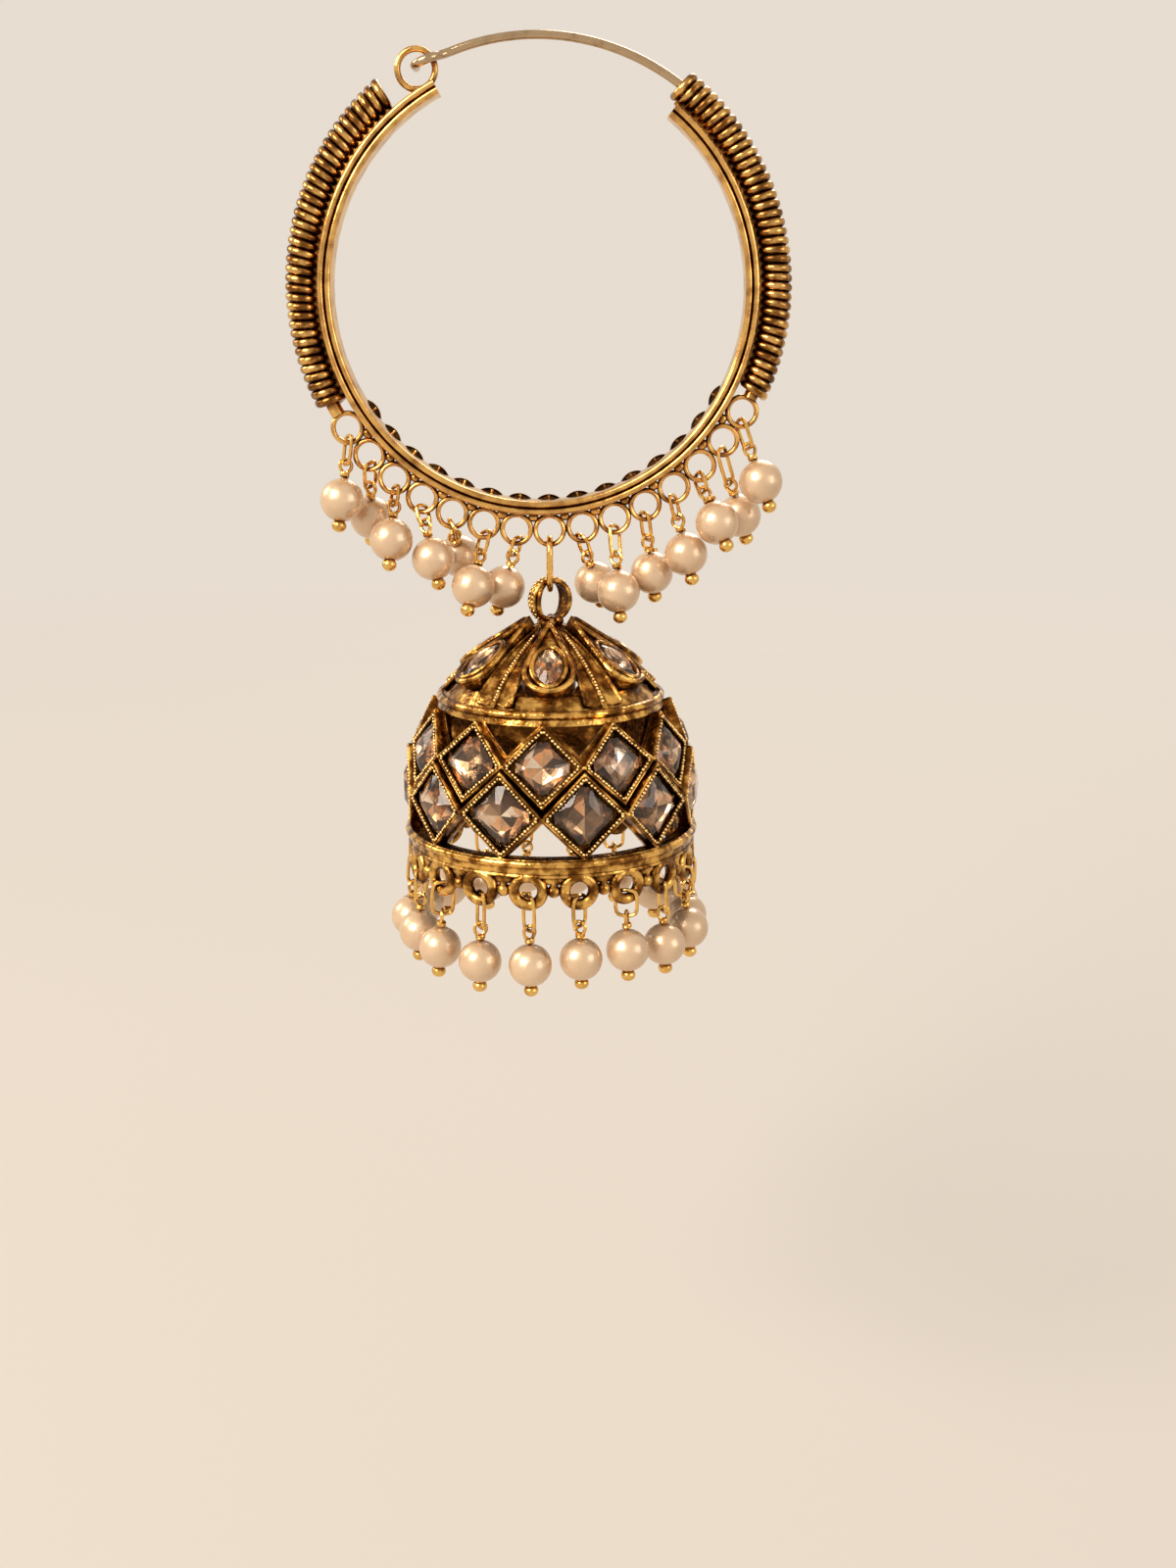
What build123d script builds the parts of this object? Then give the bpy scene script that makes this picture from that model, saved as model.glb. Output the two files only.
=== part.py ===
"""Jhumka earring: a hoop edged with pearls, and a stone-set bell hung from it.

Millimetres, +Z up. The origin is the ear wire's centre line at its highest point,
where the earring hangs in the ear. The hoop stands in the XZ plane and faces -Y.
"""
from build123d import *
import os
from collections import namedtuple
from math import cos, pi, radians, sin, sqrt, tan

os.makedirs("parts", exist_ok=True)

# ---------------------------------------------------------------- driving dimensions
GAP = 0.1                # clearance between pieces that are hooked or set together

# hoop
HOOP_RADIUS = 26.5       # centre line of the ear wire, the rods and the coils
HOOP_LEAN = 2.3          # degrees that the hoop hangs round from straight
BAND_INNER = 23.0
BAND_OUTER = 24.6
BAND_FRONT = 1.6         # the band reaches this far forward, without its ribs
BAND_BACK = 1.7
BAND_RIB = 0.4           # radius of the two rounded ribs along the band's front
BAND_ENDS = (-155.0, 139.7)
SCALLOP_THICK = 0.5      # petal edging behind the band
SCALLOP_RADIUS = 2.1
SCALLOP_CENTRE = 24.6
ROD_RADIUS = 0.8         # rod that each coil is wound on
COIL_WIRE = 0.96         # wire thickness, which is also the pitch of the turns
COIL_RADIUS = 1.34       # centre of the rod to the centre of the coil's wire
COIL_SLEEVE = 1.45
COIL_LEFT = (-143.2, -65.0)
COIL_RIGHT = (63.6, 141.5)

# ring row under the band
RING_COUNT = 15
RING_PITCH = 8.3         # degrees of the hoop
RING_ROW = 26.45         # hoop centre to ring centres
RING_RADIUS = 1.65       # centre line of a ring's wire
RING_THICK = 0.3         # half section of a ring's flattened wire, across the ring
RING_WIDE = 0.45         # and along the ring's axis
SOLDER_BEAD = 0.55
SOLDER_ROW = 25.0

# ear wire and its catch
EAR_WIRE = 0.94
EAR_START = 136.4        # degrees, inside the bore of the right coil
CATCH_ANGLE = -152.7
CATCH_RADIUS = 2.05
CATCH_WIRE = 0.7
HOOK_SWEEP = 4.35        # from the end of the ear wire's arc to the catch's centre
HOOK_TURNS = ((2.2, 55.0), (1.4, -145.0))    # (bend radius, angle), then straight
HOOK_TAIL = 1.6

# pearl drops
PEARL_RADIUS = 2.5
PEARL_BORE = 0.7
PIN_WIRE = 0.5
PIN_EYE = 0.75
PIN_NECK = 0.65          # pin between its eye and the pearl
PIN_BALL = 0.9
LINK_WIRE = 0.45
HOOP_LINK_WIDTH = 2.0    # centre to centre
BELL_LINK_WIDTH = 2.55

# link between the hoop and the bell
HANGER_WIRE = 0.7
HANGER_WIDTH = 3.5
HANGER_LENGTH = 5.95
HANGER_CLEAR = 0.35     # from the hanger's wire up to the bail's

# bell: heights are measured down from its apex
BAIL_RADIUS = 2.3
BAIL_WIRE = 0.75
BAIL_HEIGHT = 2.9        # bail's centre above the apex
BAIL_TURN = 32.0         # azimuth that the bail faces
CAP_RADIUS = 13.0
CAP_DEPTH = 8.2
CAP_SHOULDER = (7.6, -3.4)
CAP_THICK = 0.6
CAP_RIM_WIRE = 1.0
CAP_HUB = 3.4            # solid middle of the cap
CAP_RING = 11.3          # solid outer ring of the cap
PETAL_COUNT = 6
PETAL_RADIUS = 3.05
PETAL_TIP = 0.35
PETAL_SEAT = 7.9         # distance of a petal's plane from the bell's axis
PETAL_SLOPE = 35.0
PETAL_HEIGHT = -3.6      # height of the seat, on the cap's surface
PETAL_ROUND = -1.6       # centre of the round end, down the slope from the seat
PETAL_POINT = 6.3        # centre of the tip, up the slope
PETAL_WALL = 0.55
PETAL_THICK = 1.1        # seat, down to under the cap's sheet
PETAL_LIP = 0.7          # wall above the seat
RIB_WIDTH = 1.2
RIB_FIN = 0.6
RIB_HEIGHT = 0.45

STONES_ROUND = 11        # stones in each row of the wall
STONE_TURN = -2.3        # degrees, azimuth of the first stone of the upper row
FRAME_WALL = 0.6         # width of a stone frame's wall
FRAME_SINK = 1.9         # frame front to its back
FRAME_LIP = 0.9          # frame front to the floor that the stone sits on
FRAME_OVERLAP = 0.15     # neighbouring frames run into each other at their corners
UPPER_ROW = -13.5        # height of the upper row's centres
UPPER_FACE = 15.65       # axis to the frames' fronts, at their centres
UPPER_SLOPE = 16.6
LOWER_ROW = -19.0
LOWER_FACE = 16.9
WALL_THICK = 0.5
UPPER_GAP = [(0, 0.9), (3.2, 4.15), (-3.2, 4.15)]       # pierced triangles, from the row's height
LOWER_GAP = [(0, -0.9), (-3.95, -4.85), (3.95, -4.85)]
RIM_TOP = -23.9
RIM_BOTTOM = -25.95
RIM_RADIUS = 17.1
RIM_BEAD = 0.45          # half-round bead along the rim's upper edge
EYELET_COUNT = 18
EYELET_TURN = -8.0
EYELET_ROW = -27.6
EYELET_SEAT = 16.6       # axis to the eyelets' centres
EYELET_RADIUS = 1.65
EYELET_WIRE = 1.3
JOIN_BEAD = 0.78         # solder between two eyelets
JOIN_BAR = 0.45          # bar from that bead up to the rim
KNOB_RADIUS = 1.1

# cut stones
GIRDLE = 0.5
STONE_CORNER = 0.9
SQUARE_CROWN = ((0.6, 40), (0.45, 65))
PEAR_CROWN = ((0.5, 40), (0.35, 62))
PEAR_FACETS = 9
PEAR_TIP = 3.4

# ---------------------------------------------------------------- hung pearls
# A row for each pearl: the ring or eyelet that it hangs on, the link's length, how far
# the drop leans sideways and forwards in degrees, and how the link is turned.
Drop = namedtuple("Drop", "seat link sideways forward turn")

HOOP_DROPS = [
    Drop(1, 3.25, -7, 13, 20),
    Drop(2, 2.95, -3, -23, -25),
    Drop(3, 2.25, -4, 22, 20),
    Drop(4, 2.25, 13, 15, -25),
    Drop(5, 2.25, 6, -46, 15),
    Drop(6, 2.85, -13, 29, 25),
    Drop(7, 2.25, -17, -11, -20),
    Drop(9, 2.95, 16, -29, 25),
    Drop(10, 3.55, 4, 14, -25),
    Drop(11, 3.25, 8, -12, 20),
    Drop(12, 2.85, 14, 11, -15),
    Drop(13, 2.25, 23, 26, 25),
    Drop(14, 4.35, 18, -14, -25),
    Drop(15, 3.35, 20, 13, 20),
]

BELL_DROPS = [
    Drop(1, 4.0, 2, 4, 15),
    Drop(2, 3.6, 2, -2, -20),
    Drop(3, 3.0, -1, 5, 25),
    Drop(4, 3.8, 2, 2, -10),
    Drop(5, 3.4, -1, 6, 25),
    Drop(6, 3.8, 2, 0, -25),
    Drop(7, 3.6, 0, 4, 10),
    Drop(8, 4.0, -3, 2, 20),
    Drop(9, 3.4, 2, 5, -25),
    Drop(10, 3.8, -1, 3, 15),
    Drop(11, 3.6, 1, 6, -15),
    Drop(12, 4.0, -2, 1, 25),
    Drop(13, 3.4, 1, 4, -20),
    Drop(14, 3.8, 2, 2, 10),
    Drop(15, 3.6, -1, 5, -25),
    Drop(16, 3.4, 2, 3, 20),
    Drop(17, 3.8, -2, 4, -15),
    Drop(18, 4.2, 0, 3, 25),
]

# ---------------------------------------------------------------- frames of reference
HOOP = Plane(
    origin=(0, 0, -HOOP_RADIUS),
    x_dir=(cos(radians(HOOP_LEAN)), 0, sin(radians(HOOP_LEAN))),
    z_dir=(0, -1, 0),
)
HOOP_AXIS = Axis(HOOP.origin, HOOP.z_dir)


def on_hoop(angle, radius, forward=0.0):
    """A point of the hoop: degrees round from its foot, positive to the right."""
    turn = radians(angle)
    return HOOP.from_local_coords(Vector(radius * sin(turn), -radius * cos(turn), forward))


def hoop_section(angle):
    """The plane across the hoop: x outwards, y forwards."""
    outwards = on_hoop(angle, 1.0) - HOOP.origin
    return Plane(origin=HOOP.origin, x_dir=outwards, z_dir=outwards.cross(HOOP.z_dir))


def ring_angle(number):
    """Where ring 1 to 15 stands on the hoop; the middle one is at its foot."""
    return (number - (RING_COUNT + 1) / 2) * RING_PITCH


HOOK_RING = (RING_COUNT + 1) // 2
BELL_X = on_hoop(ring_angle(HOOK_RING), RING_ROW).X
RING_FOOT = on_hoop(ring_angle(HOOK_RING), RING_ROW).Z - RING_RADIUS
HANGER_TOP = RING_FOOT + RING_THICK + GAP + HANGER_WIRE / 2
HANGER_FOOT = HANGER_TOP - HANGER_LENGTH
BAIL_TOP = HANGER_FOOT + HANGER_WIRE / 2 + HANGER_CLEAR + BAIL_WIRE / 2
APEX = BAIL_TOP - BAIL_RADIUS - BAIL_HEIGHT


def on_bell(azimuth, radius, height):
    """A point of the bell: azimuth 0 faces -Y, positive to the right."""
    turn = radians(azimuth)
    return Vector(BELL_X + radius * sin(turn), -radius * cos(turn), APEX + height)


def bell_face(azimuth, radius, height, slope=0.0):
    """A plane that faces outwards from the bell: x round it, y up, tipped by slope."""
    turn = radians(azimuth)
    tip = radians(slope)
    outwards = Vector(sin(turn) * cos(tip), -cos(turn) * cos(tip), sin(tip))
    along = Vector(cos(turn), sin(turn), 0)
    return Plane(origin=on_bell(azimuth, radius, height), x_dir=along, z_dir=outwards)


def hanging(hook, across, sideways, forward, turn):
    """The frame of a drop: origin on the wire it hangs from, z up along the drop.

    Its x axis is the axis of that ring, and the whole drop is turned about z.
    """
    level = Plane(origin=hook, x_dir=across, z_dir=(0, 0, 1))
    return level * Location((0, 0, 0), (-sideways, forward, 0)) * Location((0, 0, 0), (0, 0, turn))


# ---------------------------------------------------------------- small repeated parts
def link_part(length, width, wire, hook):
    """An oval link in the XZ plane whose top hooks over a wire at the origin."""
    top = hook + GAP + wire / 2
    straight = length - width
    with BuildPart() as link:
        with BuildLine(Plane.XZ) as path:
            right = Line((width / 2, top - width / 2 - straight), (width / 2, top - width / 2))
            over = ThreePointArc(right @ 1, (0, top), (-width / 2, top - width / 2))
            left = Line(over @ 1, (-width / 2, top - width / 2 - straight))
            ThreePointArc(left @ 1, (0, top - length), right @ 0)
        with BuildSketch(Plane(origin=path.line @ 0, z_dir=path.line % 0)):
            Circle(wire / 2)
        sweep(path=path.line)
    return link.part


def pearl_centre(length, hook):
    """How far below the hooked wire the pearl's centre hangs."""
    link_foot = hook + GAP + LINK_WIRE / 2 - length
    eye_foot = link_foot + LINK_WIRE / 2 + GAP + PIN_WIRE / 2 - 2 * PIN_EYE
    return eye_foot - PIN_NECK - PEARL_RADIUS


def pin_part(length, hook):
    """The head pin of a pearl: an eye round the link's foot, a stem and a ball end."""
    centre = pearl_centre(length, hook)
    eye = centre + PEARL_RADIUS + PIN_NECK + PIN_EYE
    ball = centre - PEARL_RADIUS - GAP - PIN_BALL
    with BuildPart() as pin:
        with Locations(Location((0, 0, eye), (0, 90, 0))):
            Torus(PIN_EYE, PIN_WIRE / 2)
        with Locations((0, 0, ball)):
            Cylinder(PIN_WIRE / 2, eye - PIN_EYE - ball, align=(Align.CENTER, Align.CENTER, Align.MIN))
            Sphere(PIN_BALL)
        with Locations((0, 0, eye - PIN_EYE - PIN_WIRE / 2)):
            Torus(PIN_WIRE * 0.7, PIN_WIRE / 2)
    return pin.part


def pearl_part(length, hook):
    """A round pearl drilled along its pin."""
    with BuildPart() as pearl:
        with Locations((0, 0, pearl_centre(length, hook))):
            Sphere(PEARL_RADIUS)
            Cylinder(PEARL_BORE / 2, 3 * PEARL_RADIUS, mode=Mode.SUBTRACT)
    return pearl.part


def finish(piece, label):
    """Name a finished piece and write it."""
    piece.label = label
    export_step(piece, f"parts/{label}.step")


# ---------------------------------------------------------------- hoop
with BuildPart() as ring:
    with BuildSketch(Plane.XZ):
        with Locations((RING_RADIUS, 0)):
            Ellipse(RING_THICK, RING_WIDE)
    revolve(axis=Axis.Z)

ring_places = [
    Location(Plane(origin=on_hoop(ring_angle(n), RING_ROW), z_dir=HOOP.z_dir))
    for n in range(1, RING_COUNT + 1)
]
bead_places = [
    Location(Plane(origin=on_hoop(ring_angle(n + 0.5), SOLDER_ROW), z_dir=HOOP.z_dir))
    for n in range(1, RING_COUNT)
]
scallop_spots = [
    (SCALLOP_CENTRE * sin(radians(ring_angle(n))), -SCALLOP_CENTRE * cos(radians(ring_angle(n))))
    for n in range(1, RING_COUNT + 1)
]

with BuildPart() as hoop_frame:
    # the band: a flat channel with two rounded ribs along its front
    with BuildSketch(hoop_section(BAND_ENDS[0])):
        with Locations(((BAND_INNER + BAND_OUTER) / 2, (BAND_FRONT - BAND_BACK) / 2)):
            Rectangle(BAND_OUTER - BAND_INNER, BAND_FRONT + BAND_BACK)
        with Locations((BAND_INNER + BAND_RIB, BAND_FRONT), (BAND_OUTER - BAND_RIB, BAND_FRONT)):
            Circle(BAND_RIB)
    revolve(axis=HOOP_AXIS, revolution_arc=BAND_ENDS[1] - BAND_ENDS[0])
    # the petal edging behind it, as far as the rings go
    with BuildSketch(HOOP.offset(-BAND_BACK)):
        with Locations(*scallop_spots):
            Circle(SCALLOP_RADIUS)
        Circle(BAND_OUTER, mode=Mode.INTERSECT)
    extrude(amount=-SCALLOP_THICK)
    # the rods that the coils are wound on
    for start, end in ((COIL_LEFT[0], COIL_LEFT[1] + 3.2), (COIL_RIGHT[0] - 1.8, EAR_START - 0.4)):
        with BuildSketch(hoop_section(start)):
            with Locations((HOOP_RADIUS, 0)):
                Circle(ROD_RADIUS)
        revolve(axis=HOOP_AXIS, revolution_arc=end - start)
    # the row of rings with a solder bead in each joint
    with Locations(*ring_places):
        add(ring.part)
    with Locations(*bead_places):
        Sphere(SOLDER_BEAD)
    # the catch ring on the band's left end
    with Locations(Location(Plane(origin=on_hoop(CATCH_ANGLE, HOOP_RADIUS), z_dir=HOOP.z_dir))):
        Torus(CATCH_RADIUS, CATCH_WIRE / 2)
finish(hoop_frame.part, "hoop_frame")


def wound_coil(ends):
    """A close coil round the hoop's rod, its turns joined by a thin sleeve."""
    step = COIL_WIRE / HOOP_RADIUS * 180 / pi
    turns = int((ends[1] - ends[0]) / step)
    places = []
    for number in range(turns + 1):
        angle = ends[0] + number * (ends[1] - ends[0]) / turns
        across = hoop_section(angle)
        across.origin = on_hoop(angle, HOOP_RADIUS)
        places.append(Location(across))
    with BuildPart() as coil:
        with BuildSketch(hoop_section(ends[0])):
            with Locations((HOOP_RADIUS, 0)):
                Circle(COIL_SLEEVE)
                Circle(COIL_RADIUS - COIL_WIRE / 2 + 0.1, mode=Mode.SUBTRACT)
        revolve(axis=HOOP_AXIS, revolution_arc=ends[1] - ends[0])
        with Locations(*places):
            Torus(COIL_RADIUS, COIL_WIRE / 2)
    return coil.part


finish(wound_coil(COIL_LEFT), "coil_left")
finish(wound_coil(COIL_RIGHT), "coil_right")

# the ear wire: an arc over the top from the right coil's bore, then a small hook
# that goes forwards over the catch ring and back through it
hook_start = CATCH_ANGLE + 360 - HOOK_SWEEP / HOOP_RADIUS * 180 / pi
hook_plane = hoop_section(hook_start)
hook_plane = Plane(
    origin=on_hoop(hook_start, HOOP_RADIUS),
    x_dir=-hook_plane.z_dir,
    z_dir=(-hook_plane.z_dir).cross(HOOP.z_dir),
)
with BuildPart() as ear_wire:
    with BuildSketch(hoop_section(EAR_START)):
        with Locations((HOOP_RADIUS, 0)):
            Circle(EAR_WIRE / 2)
    revolve(axis=HOOP_AXIS, revolution_arc=hook_start - EAR_START)
    with BuildLine(hook_plane) as hook_path:
        bend_out = JernArc((0, 0), (1, 0), HOOK_TURNS[0][0], HOOK_TURNS[0][1])
        bend_back = JernArc(bend_out @ 1, bend_out % 1, HOOK_TURNS[1][0], HOOK_TURNS[1][1])
        Line(bend_back @ 1, (bend_back @ 1) + (bend_back % 1) * HOOK_TAIL)
    with BuildSketch(Plane(origin=hook_path.line @ 0, z_dir=hook_path.line % 0)):
        Circle(EAR_WIRE / 2)
    sweep(path=hook_path.line)
finish(ear_wire.part, "ear_wire")

# ---------------------------------------------------------------- hanger
hanger = hanging((BELL_X, 0, RING_FOOT), (0, 1, 0), 0, 0, 0) * link_part(
    HANGER_LENGTH, HANGER_WIDTH, HANGER_WIRE, RING_THICK
)
finish(hanger, "bell_hanger")

# ---------------------------------------------------------------- bell
BELL = Plane(origin=(BELL_X, 0, APEX))
STONE_STEP = 360 / STONES_ROUND
EYELET_STEP = 360 / EYELET_COUNT
upper_turns = [STONE_TURN + STONE_STEP * n for n in range(STONES_ROUND)]
lower_turns = [turn + STONE_STEP / 2 for turn in upper_turns]
petal_turns = [360 / PETAL_COUNT * n for n in range(PETAL_COUNT)]
rib_turns = [turn + 180 / PETAL_COUNT for turn in petal_turns]
eyelet_turns = [EYELET_TURN + EYELET_STEP * n for n in range(EYELET_COUNT)]

upper_half = UPPER_FACE * tan(pi / STONES_ROUND)      # half a frame's diagonal
lower_half = LOWER_FACE * tan(pi / STONES_ROUND)
upper_planes = [bell_face(turn, UPPER_FACE, UPPER_ROW, UPPER_SLOPE) for turn in upper_turns]
lower_planes = [bell_face(turn, LOWER_FACE, LOWER_ROW) for turn in lower_turns]
petal_planes = [
    bell_face(turn, PETAL_SEAT, PETAL_HEIGHT, 90 - PETAL_SLOPE) for turn in petal_turns
]


def bell_profile(*points):
    """Close a profile of the bell, given as (radius, height) corners."""
    with BuildSketch() as profile:
        with BuildLine():
            Polyline(*points, close=True)
        make_face()
    return profile.sketch


def teardrop(radius, tip):
    """A petal's outline in its own plane, as a sketch to add."""
    with BuildSketch() as outline:
        with Locations((0, PETAL_ROUND)):
            Circle(radius)
        with Locations((0, PETAL_POINT)):
            Circle(tip)
        make_hull()
    return outline.sketch


BELL_SECTION = Plane(origin=BELL.origin, x_dir=(1, 0, 0), z_dir=(0, -1, 0))
bail_places = [
    Location(bell_face(BAIL_TURN, side * BAIL_WIRE * 0.45, BAIL_HEIGHT))
    for side in (-1, 1)
]


def rib_plane(turn):
    """The upright plane through the bell's axis along a rib: x outwards, y up."""
    outwards = on_bell(turn, 1, 0) - on_bell(turn, 0, 0)
    return Plane(origin=BELL.origin, x_dir=outwards, z_dir=outwards.cross(Vector(0, 0, 1)))


wall_top = -CAP_DEPTH - 0.4
wall_radius = LOWER_FACE - FRAME_LIP - 0.05
wall_lean = tan(radians(UPPER_SLOPE))
wall_bend = UPPER_ROW - (wall_radius - UPPER_FACE + FRAME_LIP + 0.1) / wall_lean
wall_neck = wall_radius - (wall_top - wall_bend) * wall_lean
wall_profile = bell_profile(
    (wall_neck, wall_top),
    (wall_radius, wall_bend),
    (wall_radius, RIM_BOTTOM),
    (wall_radius - WALL_THICK, RIM_BOTTOM),
    (wall_radius - WALL_THICK, wall_bend),
    (wall_neck - WALL_THICK, wall_top),
)
with BuildSketch() as rim_profile:
    with Locations(((wall_radius - WALL_THICK + RIM_RADIUS) / 2, (RIM_TOP + RIM_BOTTOM) / 2)):
        Rectangle(RIM_RADIUS - wall_radius + WALL_THICK, RIM_TOP - RIM_BOTTOM)
    with Locations((RIM_RADIUS, RIM_TOP - RIM_BEAD)):
        Circle(RIM_BEAD)
with BuildSketch() as rib_fin:
    with BuildLine():
        crest = ThreePointArc(
            (0, RIB_HEIGHT),
            (CAP_SHOULDER[0], CAP_SHOULDER[1] + RIB_HEIGHT),
            (CAP_RADIUS, -CAP_DEPTH + RIB_HEIGHT),
        )
        root = ThreePointArc(
            (CAP_RADIUS, -CAP_DEPTH),
            (CAP_SHOULDER[0], CAP_SHOULDER[1] - CAP_THICK / 2),
            (0, -CAP_THICK / 2),
        )
        Line(crest @ 1, root @ 0)
        Line(root @ 1, crest @ 0)
    make_face()
petal_outline = teardrop(PETAL_RADIUS, PETAL_TIP)
with BuildSketch() as petal_inside:
    add(petal_outline)
    offset(amount=-PETAL_WALL, mode=Mode.REPLACE)

with BuildPart() as bell_shell:
    # wall: one turned shell under the cap
    with BuildSketch(BELL_SECTION):
        add(wall_profile)
    revolve(axis=Axis(BELL.origin, (0, 0, 1)))
    # rim, and the row of soldered eyelets under it
    with BuildSketch(BELL_SECTION):
        add(rim_profile.sketch)
    revolve(axis=Axis(BELL.origin, (0, 0, 1)))
    with Locations(*[Location(bell_face(turn, EYELET_SEAT, EYELET_ROW)) for turn in eyelet_turns]):
        Torus(EYELET_RADIUS, EYELET_WIRE / 2)
    for turn in eyelet_turns:
        with Locations(Location(on_bell(turn + EYELET_STEP / 2, EYELET_SEAT, EYELET_ROW))):
            Sphere(JOIN_BEAD)
            Cylinder(JOIN_BAR, RIM_BOTTOM + 0.5 - EYELET_ROW, align=(Align.CENTER, Align.CENTER, Align.MIN))
    # pierced triangles above and below the stones
    with BuildSketch(*[bell_face(turn, LOWER_FACE, UPPER_ROW) for turn in lower_turns]):
        Polygon(*UPPER_GAP, align=None)
    extrude(amount=-(LOWER_FACE - CAP_RING), mode=Mode.SUBTRACT)
    with BuildSketch(*[bell_face(turn, LOWER_FACE, LOWER_ROW) for turn in upper_turns]):
        Polygon(*LOWER_GAP, align=None)
    extrude(amount=-(LOWER_FACE - CAP_RING), mode=Mode.SUBTRACT)
    # stone frames, square and set on their corners
    for planes, half in ((upper_planes, upper_half), (lower_planes, lower_half)):
        side = (half + FRAME_OVERLAP) * sqrt(2)
        with BuildSketch(*[plane.offset(-FRAME_SINK) for plane in planes]):
            Rectangle(side, side, rotation=45)
        extrude(amount=FRAME_SINK - FRAME_LIP)
        with BuildSketch(*[plane.offset(-FRAME_LIP) for plane in planes]):
            Rectangle(side, side, rotation=45)
            Rectangle(side - 2 * FRAME_WALL, side - 2 * FRAME_WALL, rotation=45, mode=Mode.SUBTRACT)
        extrude(amount=FRAME_LIP)
    # cap: a thin domed sheet with its gaps cut between the petals and the ribs
    with BuildSketch(BELL_SECTION):
        with BuildLine():
            outer = ThreePointArc((0, 0), CAP_SHOULDER, (CAP_RADIUS, -CAP_DEPTH))
            inner = ThreePointArc(
                (CAP_RADIUS - CAP_THICK * 0.8, -CAP_DEPTH - CAP_THICK * 0.6),
                (CAP_SHOULDER[0] - CAP_THICK * 0.5, CAP_SHOULDER[1] - CAP_THICK * 0.9),
                (0, -CAP_THICK),
            )
            Line(outer @ 1, inner @ 0)
            Line(inner @ 1, outer @ 0)
        make_face()
    revolve(axis=Axis(BELL.origin, (0, 0, 1)))
    with BuildSketch(BELL.offset(1)):
        Circle(CAP_RING)
        Circle(CAP_HUB, mode=Mode.SUBTRACT)
        for turn in rib_turns:
            with Locations(Rotation(0, 0, turn)):
                with Locations((0, -CAP_RING / 2)):
                    Rectangle(RIB_WIDTH, CAP_RING + 1, mode=Mode.SUBTRACT)
    extrude(amount=-CAP_DEPTH, mode=Mode.SUBTRACT)
    # a wire round the cap's rim, and a fin along each rib
    with Locations(BELL.offset(-CAP_DEPTH).location):
        Torus(CAP_RADIUS, CAP_RIM_WIRE / 2)
    for turn in rib_turns:
        with BuildSketch(rib_plane(turn)):
            add(rib_fin.sketch)
        extrude(amount=RIB_FIN / 2, both=True)
    # petals: a flat seat with a raised wall round it
    with BuildSketch(*petal_planes):
        add(petal_outline)
    extrude(amount=-PETAL_THICK)
    with BuildSketch(*petal_planes):
        add(petal_outline)
        add(petal_inside.sketch, mode=Mode.SUBTRACT)
    extrude(amount=PETAL_LIP)
    # bail: two turns of wire standing on a knob at the apex
    with Locations(BELL.location):
        Sphere(KNOB_RADIUS)
    with Locations(*bail_places):
        Torus(BAIL_RADIUS, BAIL_WIRE / 2)
finish(bell_shell.part, "bell_shell")

# ---------------------------------------------------------------- stones
def cut_stone(outline, crown):
    """A faceted stone on the XY plane: a straight girdle, then each (height, taper) above it."""
    with BuildPart() as stone:
        with BuildSketch():
            add(outline)
        extrude(amount=GIRDLE)
        for height, taper in crown:
            top = stone.faces().sort_by(Axis.Z)[-1]
            extrude(to_extrude=top, amount=height, taper=taper)
    return stone.part


def square_outline(half):
    """A square on its corner with its four corners cut off, for a frame of that half diagonal."""
    side = (half + FRAME_OVERLAP) * sqrt(2) - 2 * (FRAME_WALL + GAP)
    with BuildSketch() as outline:
        Rectangle(side, side, rotation=45)
        chamfer(outline.vertices(), STONE_CORNER)
    return outline.sketch


def pear_outline():
    """A pear with straight sides that fits a petal."""
    radius = PETAL_RADIUS - PETAL_WALL - GAP
    steps = [-20 + 220 * n / (PEAR_FACETS - 2) for n in range(PEAR_FACETS - 1)]
    points = [(radius * cos(radians(a)), PETAL_ROUND - radius * sin(radians(a))) for a in steps]
    with BuildSketch() as outline:
        Polygon(*points, (0, PEAR_TIP), align=None)
    return outline.sketch


for label, outline, crown, planes, base in (
    ("upper_stones", square_outline(upper_half), SQUARE_CROWN, upper_planes, GAP - FRAME_LIP),
    ("lower_stones", square_outline(lower_half), SQUARE_CROWN, lower_planes, GAP - FRAME_LIP),
    ("cap_stones", pear_outline(), PEAR_CROWN, petal_planes, GAP),
):
    one_stone = cut_stone(outline, crown)
    with BuildPart() as stones:
        with Locations(*[Location(plane.offset(base)) for plane in planes]):
            add(one_stone)
    finish(stones.part, label)

# ---------------------------------------------------------------- pearl drops
hoop_hangings = []
for drop in HOOP_DROPS:
    foot = on_hoop(ring_angle(drop.seat), RING_ROW) - Vector(0, 0, RING_RADIUS)
    frame = hanging(foot, (0, 1, 0), drop.sideways, drop.forward, drop.turn)
    hoop_hangings.append((drop, frame))

bell_hangings = []
for drop in BELL_DROPS:
    turn = EYELET_TURN + EYELET_STEP * (drop.seat - 1)
    foot = on_bell(turn, EYELET_SEAT, EYELET_ROW - EYELET_RADIUS)
    inwards = on_bell(turn, 0, 0) - on_bell(turn, 1, 0)
    frame = hanging(foot, inwards, drop.sideways, drop.forward, drop.turn)
    bell_hangings.append((drop, frame))

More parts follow.
